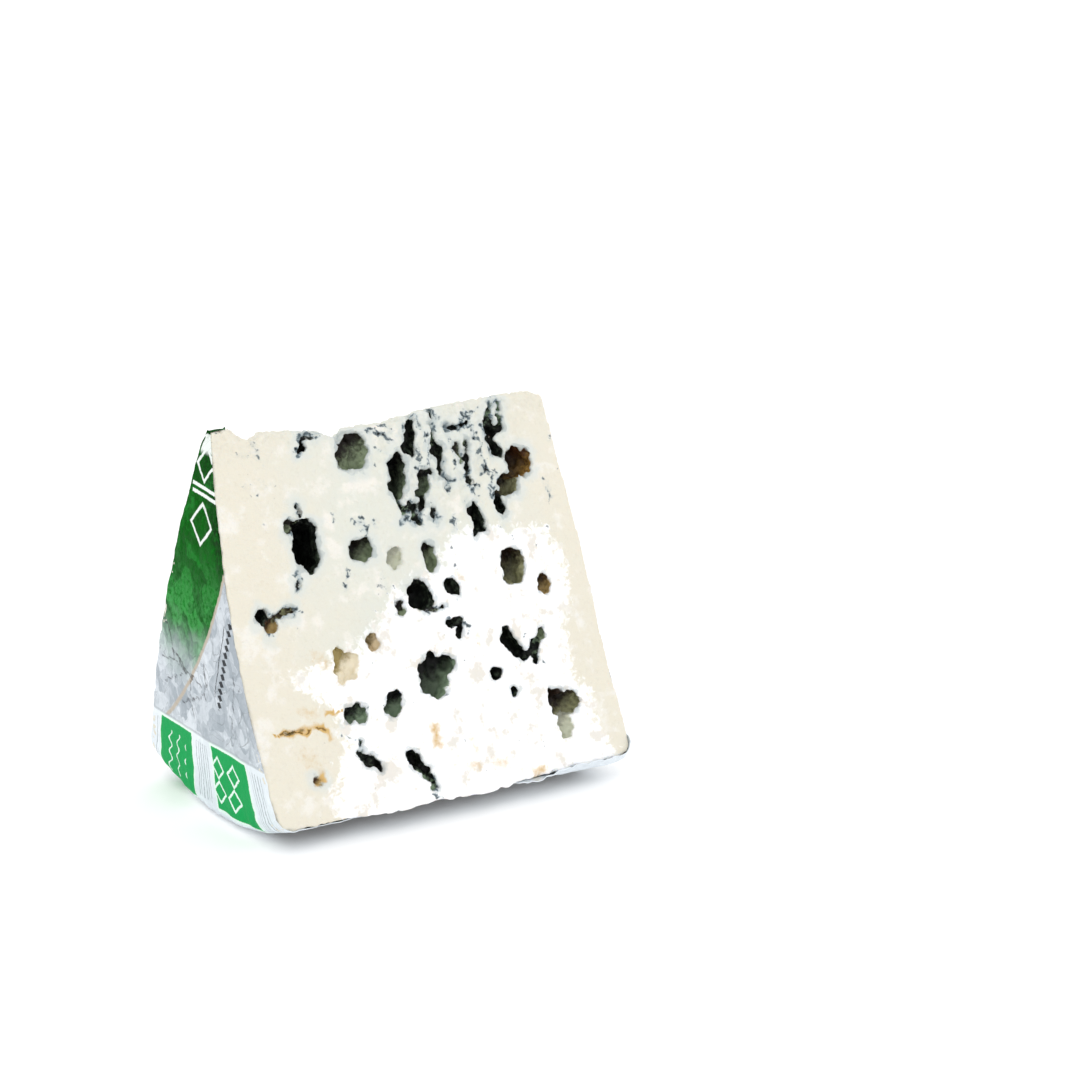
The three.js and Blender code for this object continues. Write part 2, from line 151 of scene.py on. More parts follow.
# Thin fissures of the front cut face: points (x, down), half width, depth and lining
FRONT_FISSURES = [
    ([(7.2, 4.8), (4.9, 9.8), (2.6, 14)], 0.9, 4, "black"),
    ([(9.4, 18.7), (6.3, 22), (4.9, 25.2)], 0.8, 4, "black"),
    ([(6, 24.6), (4.9, 28.1), (2.4, 31.1)], 0.6, 2.4, "black"),
    ([(10.9, 12.1), (13.2, 13.9), (12.9, 17.5), (12.8, 20.9), (14.8, 22.5)], 0.6, 2.6, "black"),
    ([(29.1, 8), (30.3, 11), (28.6, 14), (30.2, 18)], 0.6, 4, "black"),
    ([(32.8, 8.1), (32.2, 10.7), (30, 12)], 0.7, 3, "black"),
    ([(19.5, 35.7), (17.9, 38.7)], 0.5, 2, "black"),
    ([(-1.9, 25.7), (-0.9, 28.9), (1.9, 26.9), (3.5, 30.2)], 0.6, 2, "slate"),
    ([(-2, 31.3), (0.5, 30.6), (4.2, 32.1)], 0.5, 2, "black"),
    ([(8.4, 29.3), (8.1, 32.1)], 0.8, 2.4, "black"),
    ([(-19.8, 5.9), (-23.9, 6.3), (-25.9, 7.8), (-26, 9.7), (-27.6, 10.5)], 0.7, 1.8, "black"),
    ([(-30.4, 23.2), (-30.1, 26.1)], 0.5, 1.6, "black"),
    ([(-33.6, 40.2), (-34.1, 43.5)], 0.5, 1.6, "black"),
    ([(-42.6, 49.6), (-41, 49.8), (-38.6, 48.6), (-36.6, 49)], 0.7, 1.6, "olive"),
    ([(-0.5, 53.9), (2.4, 54.4), (5.4, 54.1)], 0.6, 1.6, "grey"),
    ([(-25.2, 83.4), (-25.3, 85.9), (-23.4, 89.9)], 0.5, 1.8, "slate"),
    ([(-10.4, 92.8), (-8.5, 95.2), (-7.3, 98.4)], 0.8, 1.8, "slate"),
    ([(12.5, 3.9), (12.1, 8), (11.8, 12.7)], 0.5, 1.8, "slate"),
    ([(16, 8.3), (19.9, 9.1), (23.6, 8)], 0.6, 2, "black"),
    ([(28.5, 9.5), (29.4, 6.4), (30.8, 3.6)], 0.5, 1.4, "slate"),
    ([(32.4, 9.9), (33.1, 5.4), (33, 3.2)], 0.5, 1.4, "slate"),
    ([(21.5, 12.4), (20.5, 18.4), (19.6, 23.9)], 0.4, 1.8, "black"),
    ([(-25.8, 86.4), (-23, 89), (-21.2, 90.8)], 0.8, 3, "black"),
    ([(-11.6, 91.5), (-9.6, 92.3), (-8.2, 93.4)], 0.7, 2.6, "black"),
    ([(-13, 87.9), (-11.6, 89.4)], 0.5, 2, "black"),
    ([(31, 66), (29.6, 68.8), (28.6, 72.2)], 0.6, 2, "slate"),
    ([(31.6, 80.6), (33.2, 83.4)], 0.6, 3, "black"),
]

# The number of the back's first lump, which gives its knobs and dents their places
BACK_NUMBER = 101

# The back face's hollows follow the same rule as the solid's
BACK_COUNT = 28
BACK_SEED = 7
BACK_SPAN = {"left": -42, "right": 42, "top": 16, "low": 94}
BACK_SIZES = [11, 9, 8, 7, 6, 5, 4.5, 4, 3.5, 3]
BACK_PER_SIZE = 3
BACK_APART = 2.5
BACK_NARROWEST = 0.55
BACK_DEPTH = 0.75
BACK_THROUGH = 0.6
BACK_LEAN = 30
BACK_LININGS = ["black", "slate", "grey", "olive", "black", "slate", "brown", "black", "tan"]
BACK_VEINS = 60
BACK_FISSURES = 18

# The form of a lump: how square it is, and how much its knobs and dents stand out
LUMP_SQUARE = 3.2
LUMP_KNOB = 0.16
LUMP_DENT = 0.1

# Mould stains of the front face as strokes of points (x, down), each with a half width and a strength
FRONT_STAINS = [
    ([(-19.8, 5.9), (-23.9, 6.3), (-25.9, 7.8), (-26, 9.7), (-27.6, 10.5)], 0.9, 0.85),
    ([(-38.5, 5.9), (-38.1, 10.6)], 0.9, 0.55),
    ([(-43, 9), (-38, 10), (-36.8, 12)], 0.6, 0.45),
    ([(-6.3, 7.4), (-2.7, 8.6), (-0.7, 10.6)], 1.0, 0.75),
    ([(-5.1, 10.5), (-4, 12.4)], 0.8, 0.55),
    ([(-14.1, 29.5), (-13.2, 31.7)], 1.0, 0.75),
    ([(-10.4, 29.9), (-9.7, 31.3)], 1.0, 0.7),
    ([(-17, 28.6), (-16, 29)], 0.6, 0.45),
    ([(-21.9, 27.8), (-21.4, 29.1)], 0.6, 0.5),
    ([(-20, 41.3), (-20.6, 43.2)], 0.8, 0.7),
    ([(-21.2, 44.6), (-21, 45.8)], 0.7, 0.75),
    ([(-33.9, 26.9), (-31.6, 28.8), (-32.9, 30.7)], 0.7, 0.75),
    ([(-30.9, 22.8), (-30.2, 25.6)], 0.7, 0.8),
    ([(-33.6, 40.2), (-34.1, 43.5)], 0.7, 0.8),
    ([(-43.2, 49.1), (-41, 49.8), (-38.6, 48.6), (-36, 49)], 0.8, 0.75),
    ([(-43.4, 50), (-43.3, 53.6)], 0.8, 0.75),
    ([(-1.9, 25.7), (-0.9, 28.9), (1.9, 26.9), (3.5, 30.2)], 0.9, 0.8),
    ([(-2, 31.3), (0.5, 30.6), (4.2, 32.1)], 0.8, 0.75),
    ([(7.3, 4.6), (8.2, 7), (9, 9)], 0.6, 0.7),
    ([(12.6, 3.6), (13.8, 6.1), (12.6, 8.6)], 0.8, 0.75),
    ([(15.8, 7.9), (19.1, 9.3), (22.6, 8.3)], 0.9, 0.75),
    ([(20.6, 6.8), (24.2, 5.6), (26.8, 5)], 0.6, 0.7),
    ([(28.5, 9.5), (30.1, 5.1), (32.2, 1.6)], 0.7, 0.75),
    ([(32.4, 9.9), (33.1, 5.4), (33, 2.2)], 0.7, 0.75),
    ([(13, 19.7), (14.8, 22.5)], 0.7, 0.7),
    ([(16.6, 11), (17.4, 15), (16.8, 19)], 0.6, 0.55),
    ([(24.6, 9.2), (24.8, 15.2), (25.8, 20.2), (26, 28)], 0.7, 0.7),
    ([(9.6, 9.2), (9, 13.2), (9.6, 17)], 0.6, 0.65),
    ([(19.8, 21.5), (20.4, 25.8)], 1.1, 0.85),
    ([(14, 32.1), (13.6, 34.2)], 0.9, 0.6),
    ([(8.4, 29.3), (8.1, 32.1)], 1.0, 0.8),
    ([(42, 25.8), (42.8, 27.8), (43.5, 30)], 0.6, 0.7),
    ([(46.5, 14.5), (46.3, 15.4)], 0.6, 0.7),
    ([(43.6, 26.3), (43.3, 30.3)], 0.5, 0.6),
    ([(-0.5, 53.9), (2.4, 54.6), (5.4, 54.1)], 0.8, 0.75),
    ([(5.5, 57.6), (10.5, 59.5), (11.4, 61.4)], 0.8, 0.75),
    ([(-22.2, 76.2), (-18, 75.7), (-14.6, 76)], 0.4, 0.5),
    ([(-30, 81.2), (-26.1, 83.2), (-25.3, 85.9)], 0.5, 0.65),
    ([(-10.4, 92.8), (-8.5, 95.2), (-7.3, 98.4), (-7.6, 101.7)], 0.9, 0.8),
    ([(26.4, 63.2), (27.6, 67.2), (30.6, 72.2)], 0.6, 0.7),
    ([(11.6, 38.2), (13, 40)], 0.6, 0.45),
    ([(27.5, 36.4), (28.6, 38.4)], 0.8, 0.5),
    ([(21.7, 6), (25.6, 5.7)], 0.7, 0.75),
    ([(24.1, 16.4), (24.6, 21.2)], 0.7, 0.62),
    ([(13.5, 32.7), (13.2, 35.7)], 0.9, 0.72),
    ([(-3.3, 4.5), (-0.4, 7.6), (-1.9, 9.8)], 0.9, 0.68),
    ([(13.8, 21.3), (14.7, 22.8)], 0.6, 0.75),
    ([(27.7, 21.9), (28.4, 23.6)], 0.7, 0.75),
    ([(7.4, 12), (6.6, 16), (4.8, 19)], 0.7, 0.6),
    ([(-20.9, 26.4), (-20.8, 27.1)], 0.6, 0.6),
    ([(-34.6, 25.4), (-34.8, 27.4)], 0.5, 0.6),
    ([(-42, 17), (-38, 18)], 2.0, 0.34),
    ([(-12, 44), (-9, 50)], 2.2, 0.3),
    ([(8, 68), (9, 70)], 0.6, 0.5),
    ([(10.6, 44.4), (13, 46)], 0.9, 0.42),
]

# Warm tan stains and cracks of the front face, in the same form
FRONT_TANS = [
    ([(-48, 77.6), (-44.6, 78.2), (-42.2, 77.7), (-39.4, 78.4), (-36.9, 78), (-33.5, 79)], 0.3, 1.6),
    ([(-45, 78.2), (-41, 77.8), (-37.4, 77.4)], 1.0, 0.75),
    ([(-34, 75.2), (-28.9, 75.1)], 0.3, 1.3),
    ([(-5, 83.8), (-4.4, 87.6)], 1.5, 0.8),
    ([(-33.6, 79.6), (-33.4, 81.4)], 0.8, 0.8),
    ([(3.5, 95), (5, 95)], 1.8, 0.55),
    ([(10.9, 95), (13, 96)], 2.2, 0.55),
    ([(22, 100), (25, 99.6)], 1.3, 0.7),
    ([(-38.9, 90.8), (-37.8, 90.2)], 1.0, 1.2),
    ([(-39.6, 73.6), (-36.4, 74.4)], 1.6, 0.5),
    ([(-33, 61), (-29, 66)], 2.6, 0.45),
    ([(-44, 41), (-43, 43)], 1.4, 0.35),
    ([(-41, 84), (-38, 87)], 2.4, 0.45),
    ([(13, 63), (13.6, 66)], 1.4, 0.5),
    ([(11, 46), (12.4, 49)], 1.3, 0.5),
    ([(5, 87.6), (6, 91)], 1.6, 0.5),
]

# The outline of the front face's blown-out white patch, a painted highlight, as points (x, down)
PAINTED_HIGHLIGHT = [
    (9.8, 38), (15.8, 34), (27, 36.5), (39.4, 38), (42.4, 46), (43.4, 54), (40.4, 60), (39.2, 68),
    (39.7, 76), (44.5, 82), (42.8, 94), (49, 99), (46, 112), (-36, 112), (-35.5, 96), (-31.4, 86),
    (-28.6, 80), (-35, 71.4), (-40.4, 66), (-33.8, 62.4), (-22.4, 60.4), (-13.4, 55), (-8.5, 48.6),
    (2.4, 45),
]

# Where the front's paste is broken into upright crags: the middle (x, down), half width, half height
CRAGS = (16, 17, 25, 17)
CRAG_HEIGHT = 0.9

# The front's foot: the x over which its overhang begins, the x over which it ends, and how far it
# stands out over the foil
OVERHANG_FROM = (-46, -40)
OVERHANG_TO = (8, 24)
OVERHANG = 0.8
FOOT_WORN = 0.5  # how much the foot's edge is worn away at the front's right and at the back
RIGHT_EDGE_OUT = 0.45  # how far the front's right edge bulges over the foil

# The foil: how far its middle stands off the bare cheese, its thickness, and where it ends
FOIL_STAND = 0.3
FOIL_THICK = 0.2
FOIL_FLOOR = 0.35
FOIL_SPARE = 1.5  # past the cuts, trimmed off once the sheet is remeshed
FOIL_PAST_CUT = 0.1
FOIL_BELOW_TIP = 0.8
FOIL_RIGHT_LOW = 1.8  # how much lower it ends at the right end of the tip
FOIL_BACK = {"foot": 1.8, "right": 1.6}  # how far it is drawn back from the front cut
LIP = {"out": 0.3, "down": 0.8, "up": 1.5, "sag": 0.6}  # its loose edge at the right of the foot
TONGUE = {"left": -50.2, "long": 5.4, "wide": 1.8, "high": 98.7, "bent": 1.2}
PLEATS = 0.4  # how far the pleats round the wheel's corner stand out
BAND_TOP = 21.0

# Folds of the left side as strokes of points (y, z), their half width, and how far they are pressed in
FOLD_HALF_WIDTH = 0.42
FOLD_DEPTH = 0.3
FOIL_FOLDS = [
    [(23, 36.9), (15, 37.4), (7.1, 36.1), (-0.3, 34.5)],
    [(15.8, 40.2), (11, 37.4), (5.3, 35.7), (7.3, 28.6), (5.4, 24.4)],
    [(12.4, 27.2), (6, 29.4), (-1, 32.1), (-3.4, 36.4)],
    [(-18.6, 41), (-17.4, 34), (-16.2, 27.6)],
    [(19, 46.6), (16.6, 42.6), (15.8, 37.8)],
    [(-2.4, 42), (-2, 34.4), (-2.6, 30)],
    [(22.2, 30.2), (15, 33.4), (7.1, 36.1)],
    [(-21.8, 39.8), (-20.8, 38.6)],
]

# How far the paste draws back from the foil, out of sight, so that no crease of the foil meets it
PASTE_BACK = 0.7

# Mesh sizes
CHEESE_BLANK_VOXEL = 0.8
CHEESE_VOXEL = 0.42
HOLLOW_VOXEL = 0.42
FOIL_VOXEL = 0.64
CHEESE_TRIANGLES = 195000

# The camera, fitted to the corners of the wedge in the photo
CAMERA_PLACE = (-286.6, -503.9, 206.7)
CAMERA_BACK = (-0.5375, -0.8088, 0.2385)
CAMERA_LENS = 77.2

# The studio: the floor in metres, the light all round, and one wide lamp
FLOOR_SIZE = 60
WORLD_LIGHT = 1.05
LAMP = {"towards": (-0.3, -0.5, 0.81), "spread": 30, "strength": 0.45}

SMOOTH_BELOW = 50  # faces that meet at fewer degrees than this are shaded as one
FAR = 1e9  # further than any point of the wedge


# Working with pieces


def pick(piece):
    """Makes a piece the only one selected, and the active one"""
    bpy.ops.object.select_all(action="DESELECT")
    piece.select_set(True)
    bpy.context.view_layer.objects.active = piece


def modify(piece, kind, **settings):
    """Adds a modifier and applies it"""
    pick(piece)
    modifier = piece.modifiers.new(kind, kind)
    for name, value in settings.items():
        setattr(modifier, name, value)
    bpy.ops.object.modifier_apply(modifier=modifier.name)


def points_of(piece):
    """The piece's vertices in millimetres"""
    flat = np.empty(len(piece.data.vertices) * 3)
    piece.data.vertices.foreach_get("co", flat)
    return flat.reshape(-1, 3) / MM


def place_points(piece, points):
    piece.data.vertices.foreach_set("co", (np.asarray(points) * MM).ravel())
    piece.data.update()


def store(piece, name, values):
    """Keeps one number for each vertex, for the materials to read"""
    made = piece.data.attributes.new(name, "FLOAT", "POINT")
    made.data.foreach_set("value", np.asarray(values, dtype=np.float32))


def weigh(piece, name, weights):
    """A vertex group with a weight from 0 to 1 for each vertex"""
    group = piece.vertex_groups.new(name=name)
    steps = np.clip(np.round(np.asarray(weights) * 20), 0, 20).astype(int)
    for step in range(1, 21):
        chosen = np.flatnonzero(steps == step)
        if len(chosen):
            group.add(chosen.tolist(), step / 20, "REPLACE")
    return group.name


def smooth_step(value, low, high):
    share = np.clip((np.asarray(value) - low) / (high - low), 0, 1)
    return share * share * (3 - 2 * share)


def ripple(x, y, length, seed):
    """An uneven wave over a plane, about -1 to 1, with crests about one length apart"""
    draw = np.random.default_rng(seed)
    total = np.zeros(len(x))
    waves = 8
    for wave in range(waves):
        turn, start = draw.uniform(0, 2 * math.pi, 2)
        run = length * draw.uniform(0.6, 1.7) / (2 * math.pi)
        total += np.sin((x * math.cos(turn) + y * math.sin(turn)) / run + start)
    return total / math.sqrt(2 * waves)


# The wheel's form


def stand_out(face, share):
    """How far a flat face of the wheel stands out, at a share of the radius"""
    return face["start"] + face["lean"] * share + 4 * face["bulge"] * share * (1 - share)


def side_profile(face, grow):
    """One side of the wheel's section, from the axis to the rim, as pairs of radius and reach"""
    flat_end = WHEEL_RADIUS - RIM_ROUND
    points = []
    for step in range(FACE_STEPS + 1):
        radius = flat_end * step / FACE_STEPS
        points.append((radius, AXIS_THICKNESS / 2 + stand_out(face, radius / WHEEL_RADIUS) + grow))
    around = RIM_ROUND + grow
    centre = points[-1][1] - around
    for step in range(1, ROUND_STEPS + 1):
        turn = math.pi / 2 * (1 - step / ROUND_STEPS)
        points.append((flat_end + around * math.cos(turn), centre + around * math.sin(turn)))
    return points


def wheel_sector(name, grow):
    """The lower part of the wheel, its section turned about the axis"""
    left = [(-reach, radius) for radius, reach in side_profile(LEFT_FACE, grow)]
    right = [(reach, radius) for radius, reach in reversed(side_profile(RIGHT_FACE, grow))]
    section = left + right
    bpy.ops.object.select_all(action="DESELECT")
    bpy.ops.mesh.primitive_circle_add(vertices=len(section), radius=WHEEL_RADIUS * MM, fill_type="NGON")
    piece = bpy.context.object
    piece.name = piece.data.name = name
    tilt_y, tilt_z = math.sin(SPIN_HALF), -math.cos(SPIN_HALF)
    place_points(piece, [(x, radius * tilt_y, AXIS_HEIGHT + radius * tilt_z) for x, radius in section])
    bpy.ops.object.mode_set(mode="EDIT")
    bpy.ops.mesh.select_all(action="SELECT")
    bpy.ops.mesh.spin(
        steps=SPIN_STEPS, angle=2 * SPIN_HALF, center=(0, 0, AXIS_HEIGHT * MM), axis=(1, 0, 0)
    )
    bpy.ops.mesh.select_all(action="SELECT")
    bpy.ops.mesh.remove_doubles(threshold=0.01 * MM)
    bpy.ops.mesh.normals_make_consistent(inside=False)
    bpy.ops.object.mode_set(mode="OBJECT")
    return piece


def cut(piece, place, away, fill=True):
    """Cuts off all that lies past a plane, and closes the cut or leaves it open"""
    pick(piece)
    bpy.ops.object.mode_set(mode="EDIT")
    bpy.ops.mesh.select_all(action="SELECT")
    bpy.ops.mesh.bisect(
        plane_co=Vector(place) * MM, plane_no=away, use_fill=fill, clear_outer=True
    )
    bpy.ops.object.mode_set(mode="OBJECT")


def wedge_blank(name, grow, past_cuts, floor):
    """A sector of the wheel between the two knife cuts"""
    piece = wheel_sector(name, grow)
    for side in (-1, 1):
        cut(piece, (0, 0, CUTS_MEET + past_cuts / SIN), (0, side * COS, SIN))
    cut(piece, (0, 0, floor), (0, 0, -1))
    cut(piece, (0, 0, TIP_TOP + grow), (0, 0, 1))
    return piece


def tip_drop(x):
    """The crumbled tip line's height lost at x"""
    xs = np.array([at for at, drop in TIP_BREAKS])
    drops = np.array([drop for at, drop in TIP_BREAKS])
    after = np.clip(np.searchsorted(xs, x, side="right"), 1, len(xs) - 1)
    share = smooth_step(x, xs[after - 1], xs[after])
    return drops[after - 1] * (1 - share) + drops[after] * share


def knife_wave(x, z):
    """A cut through soft cheese is never quite flat"""
    broad_x = np.sin(x / BROAD_WAVE["along_x"] + BROAD_WAVE["start_x"])
    broad_z = np.sin(z / BROAD_WAVE["along_z"] + BROAD_WAVE["start_z"])
    fine = np.sin(x / FINE_WAVE["along_x"] - z / FINE_WAVE["along_z"])
    return BROAD_WAVE["high"] * broad_x * broad_z + FINE_WAVE["high"] * fine


def among_crags(points):
    """1 where the front's paste is broken into crags, falling to 0 around them"""
    x, down, half_wide, half_tall = CRAGS
    away = np.hypot((points[:, 0] - x) / half_wide, (down_slope(points) - down) / half_tall)
    return (1 - smooth_step(away, 0.6, 1.2)) * (points[:, 1] < 0)


def crags(points):
    """Upright lumps and gaps of broken paste in the upper part of the front face, from 0 inwards"""
    x, down = points[:, 0], down_slope(points)
    upright = ripple(x, 0.35 * down, 5, 41) + 0.6 * ripple(x, 0.6 * down, 2.6, 42)
    return CRAG_HEIGHT * among_crags(points) * np.minimum(upright, 0.3)


def below_cut(points):
    """How deep each point lies under the nearer cut plane"""
    return (CUTS_MEET - points[:, 2]) * SIN - np.abs(points[:, 1]) * COS


def down_slope(points):
    """How far each point lies down the slope from where the cuts meet"""
    return (CUTS_MEET - points[:, 2]) * COS + np.abs(points[:, 1]) * SIN


def from_axis(points):
    """How far each point is from the wheel's axis"""
    return np.hypot(points[:, 1], AXIS_HEIGHT - points[:, 2])


def towards_axis(points, distance):
    """Draws points in, straight towards the wheel's axis"""
    shrink = 1 - distance / np.maximum(from_axis(points), 1)
    points[:, 1] *= shrink
    points[:, 2] = AXIS_HEIGHT - (AXIS_HEIGHT - points[:, 2]) * shrink
    return points


# The hollows


def seeded(seed):
    """Draws numbers from 0 to 1, the same ones at each run"""
    state = seed
    while True:
        state = state * 16807 % 2147483647
        yield state / 2147483647


def back_hollows():
    """Hollows for the back face: the largest first, each clear of those before it"""
    draw = seeded(BACK_SEED)
    hollows = []
    while len(hollows) < BACK_COUNT:
        size = BACK_SIZES[min(len(BACK_SIZES) - 1, len(hollows) // BACK_PER_SIZE)]
        x = BACK_SPAN["left"] + (BACK_SPAN["right"] - BACK_SPAN["left"]) * next(draw)
        down = BACK_SPAN["top"] + (BACK_SPAN["low"] - BACK_SPAN["top"]) * next(draw)
        wide = size * (BACK_NARROWEST + (1 - BACK_NARROWEST) * next(draw))
        deep = min(size * BACK_DEPTH, BACK_THROUGH * down * math.tan(HALF_ANGLE))
        lean = BACK_LEAN * (2 * next(draw) - 1)
        if all(math.hypot(h[0] - x, h[1] - down) > (h[3] + size) / 2 + BACK_APART for h in hollows):
            lining = BACK_LININGS[len(hollows) % len(BACK_LININGS)]
            hollows.append((x, down, wide, size, deep, lean, lining))
    return hollows


def back_fissures(hollows):
    """Thin bent fissures of the back face, near its hollows"""
    draw = seeded(BACK_SEED + 3)
    fissures = []
    for number in range(BACK_FISSURES):
        near = hollows[2 * number % len(hollows)]
        x, down = near[0] + 12 * (next(draw) - 0.5), near[1] + 12 * (next(draw) - 0.5)
        bend = (x + 2.4 * (next(draw) - 0.5), down + 1.5 + 1.5 * next(draw))
        end = (bend[0] + 2.4 * (next(draw) - 0.5), bend[1] + 1 + 2 * next(draw))
        width, deep = 0.45 + 0.4 * next(draw), 1.6 + 1.4 * next(draw)
        lining = "black" if number % 3 else "slate"
        fissures.append(([(x, down), bend, end], width, deep, lining))
    return fissures


def fissure_hollows(fissures):
    """Each fissure as a string of small uneven hollows along its stroke"""
    draw = seeded(BACK_SEED + 1)
    hollows = []
    for stroke, width, deep, lining in fissures:
        for (x0, y0), (x1, y1) in zip(stroke, stroke[1:]):
            long = math.hypot(x1 - x0, y1 - y0)
            count = max(2, round(long / (1.5 * width)))
            lean = math.degrees(math.atan2(x1 - x0, y0 - y1))
            for bead in range(count):
                share = (bead + 0.5) / count
                x = x0 + share * (x1 - x0) + width * (next(draw) - 0.5)
                down = y0 + share * (y1 - y0) + width * (next(draw) - 0.5)
                wide = 2 * width * (0.6 + 0.9 * next(draw))
                tall = 1.5 * long / count * (0.8 + 0.7 * next(draw))
                hollows.append((x, down, wide, tall, deep * (0.6 + 0.6 * next(draw)), lean, lining))
    return hollows


def lump(hollow, number, side):
    """An uneven lump, whose place in the cut face is a hollow"""
    x, down, wide, tall, deep, lean, lining = hollow
    bpy.ops.object.select_all(action="DESELECT")
    bpy.ops.mesh.primitive_ico_sphere_add(subdivisions=4, radius=MM)
    piece = bpy.context.object
    ball = points_of(piece)
    knob = LUMP_KNOB * np.sin(4.1 * ball[:, 0] + number) * np.sin(3.7 * ball[:, 1] + 2.1 * number)
    dent = LUMP_DENT * np.sin(5.3 * ball[:, 2] + 1.7 * number) * np.cos(4.7 * ball[:, 0] - number)
    reach = (np.abs(ball) ** LUMP_SQUARE).sum(axis=1) ** (1 / LUMP_SQUARE)
    ball *= ((1 + knob + dent) / reach)[:, None] * np.array([wide / 2, deep, tall / 2])
    turn = math.radians(lean)
    across = ball[:, 0] * math.cos(turn) + ball[:, 2] * math.sin(turn)
    along = ball[:, 2] * math.cos(turn) - ball[:, 0] * math.sin(turn)
    tilt = side * HALF_ANGLE
    y = ball[:, 1] * math.cos(tilt) - along * math.sin(tilt) + side * SIN * down
    z = ball[:, 1] * math.sin(tilt) + along * math.cos(tilt) + CUTS_MEET - COS * down
    place_points(piece, np.stack([across + x, y, z], axis=1))
    return piece


def noise_texture(name, kind, size, **settings):
    texture = bpy.data.textures.new(name, kind)
    texture.noise_scale = size * MM
    for key, value in settings.items():
        setattr(texture, key, value)
    return texture


def roughen(piece, texture, strength, middle=0.5, group=""):
    """Moves the surface in and out along its normals by a noise"""
    modify(
        piece, "DISPLACE", texture=texture, strength=strength * MM, mid_level=middle,
        texture_coords="LOCAL", vertex_group=group,
    )


def hollow_lumps(front, back):
    """All the lumps as one object, with the torn outlines of openings in crumbly paste"""
    lumps = [lump(hollow, number, -1) for number, hollow in enumerate(front, 1)]
    lumps += [lump(hollow, number, 1) for number, hollow in enumerate(back, BACK_NUMBER)]
    bpy.ops.object.select_all(action="DESELECT")
    for piece in lumps:
        piece.select_set(True)
    bpy.context.view_layer.objects.active = lumps[0]
    bpy.ops.object.join()
    piece = bpy.context.object
    piece.name = "hollow_lumps"
    modify(piece, "REMESH", mode="VOXEL", voxel_size=HOLLOW_VOXEL * MM)
    roughen(piece, noise_texture("torn", "CLOUDS", 2.6, noise_depth=2), 1.5)
    roughen(piece, noise_texture("chipped", "VORONOI", 1.8, noise_intensity=1.1), 1.0, middle=0.45)
    return piece


# The cheese


def make_cheese():
    """The paste: a blank between the cuts, worn and crumbled, with the hollows taken out of it"""
    front = FRONT_HOLLOWS + fissure_hollows(FRONT_FISSURES)
    back = back_hollows()
    back += fissure_hollows(back_fissures(back))
    piece = wedge_blank("paste", 0, 0, WRAP)
    modify(piece, "REMESH", mode="VOXEL", voxel_size=CHEESE_BLANK_VOXEL * MM)
    points = chipped_foot(broken_tip(knife_marks(points_of(piece))))
    place_points(piece, over_right_edge(behind_foil(points)))
    lumps = hollow_lumps(front, back)
    modify(piece, "BOOLEAN", object=lumps, operation="DIFFERENCE", solver="MANIFOLD")
    bpy.data.objects.remove(lumps)
    modify(piece, "REMESH", mode="VOXEL", voxel_size=CHEESE_VOXEL * MM)
    crumble(piece)
    thin_out(piece)
    paint_fields(piece, front, back)
    return piece


def knife_marks(points):
    """The waves and crags of the two cut faces"""
    near = 1 - smooth_step(below_cut(points), 0, 6)
    wave = knife_wave(points[:, 0], points[:, 2]) + crags(points)
    points[:, 1] += np.sign(points[:, 1]) * wave * near
    return points


def broken_tip(points):
    """The tip line, chipped and partly crumbled away"""
    x, y = points[:, 0], points[:, 1]
    chips = 0.5 * ripple(x, y, 2.4, 5) + 0.4 * ripple(x, y, 6, 6)
    points[:, 2] = np.minimum(points[:, 2], TIP_TOP - tip_drop(x) - np.maximum(chips, 0))
    return points


def overhang(x):
    """1 where the front's foot stands out over the foil, 0 at the left corner and at the right"""
    return smooth_step(x, *OVERHANG_FROM) * (1 - smooth_step(x, *OVERHANG_TO))


def chipped_foot(points):
    """Small chips along the edge where a cut face meets the rim"""
    x, y = points[:, 0], points[:, 1]
    right = smooth_step(x, *OVERHANG_TO)
    reach = np.where(y < 0, 1.2 + 1.8 * right, 3)
    edge = smooth_step(from_axis(points), WHEEL_RADIUS - 3.5, WHEEL_RADIUS)
    edge *= 1 - smooth_step(below_cut(points) / reach, 0.2, 1)
    uneven = ripple(x, 3 * y, 4, 51) + 0.6 * ripple(x, y, 16, 52)
    worn = np.where(y < 0, FOOT_WORN * right - OVERHANG * overhang(x), FOOT_WORN)
    return towards_axis(points, edge * (worn + 0.6 * np.clip(uneven, -0.4, 1)))


def behind_foil(points):
    """Draws back the surface that the foil covers, from a little way behind its cut edges"""
    hidden = (1 - cut_faces_shown(points)) * smooth_step(below_cut(points), 0.6, 2.2)
    x = points[:, 0]
    points[:, 0] -= np.sign(x) * PASTE_BACK * hidden * smooth_step(np.abs(x), 42, 48)
    rim = hidden * smooth_step(from_axis(points), WHEEL_RADIUS - 3, WHEEL_RADIUS - 1)
    return towards_axis(points, PASTE_BACK * rim)


def over_right_edge(points):
    """The front face's right edge bulges a little over the foil's edge"""
    lip = (1 - smooth_step(below_cut(points), 0.25, 1.2)) * (points[:, 1] < 0)
    points[:, 0] += RIGHT_EDGE_OUT * lip * smooth_step(points[:, 0], 43, 46.5)
    return points


def cut_faces_shown(points):
    """1 on the two cut faces and in their hollows, 0 under the foil"""
    share = (AXIS_HEIGHT - points[:, 2]) / WHEEL_RADIUS
    left = AXIS_THICKNESS / 2 + stand_out(LEFT_FACE, share) + points[:, 0]
    right = AXIS_THICKNESS / 2 + stand_out(RIGHT_FACE, share) - points[:, 0]
    rim, floor = WHEEL_RADIUS - from_axis(points), points[:, 2] - WRAP
    return smooth_step(np.minimum.reduce([left, right, rim, floor]), 0.1, 0.6)


def depth_in_paste(points):
    """How deep each point lies under the uneven cut face"""
    wave = knife_wave(points[:, 0], points[:, 2]) + crags(points)
    return below_cut(points) + wave * COS


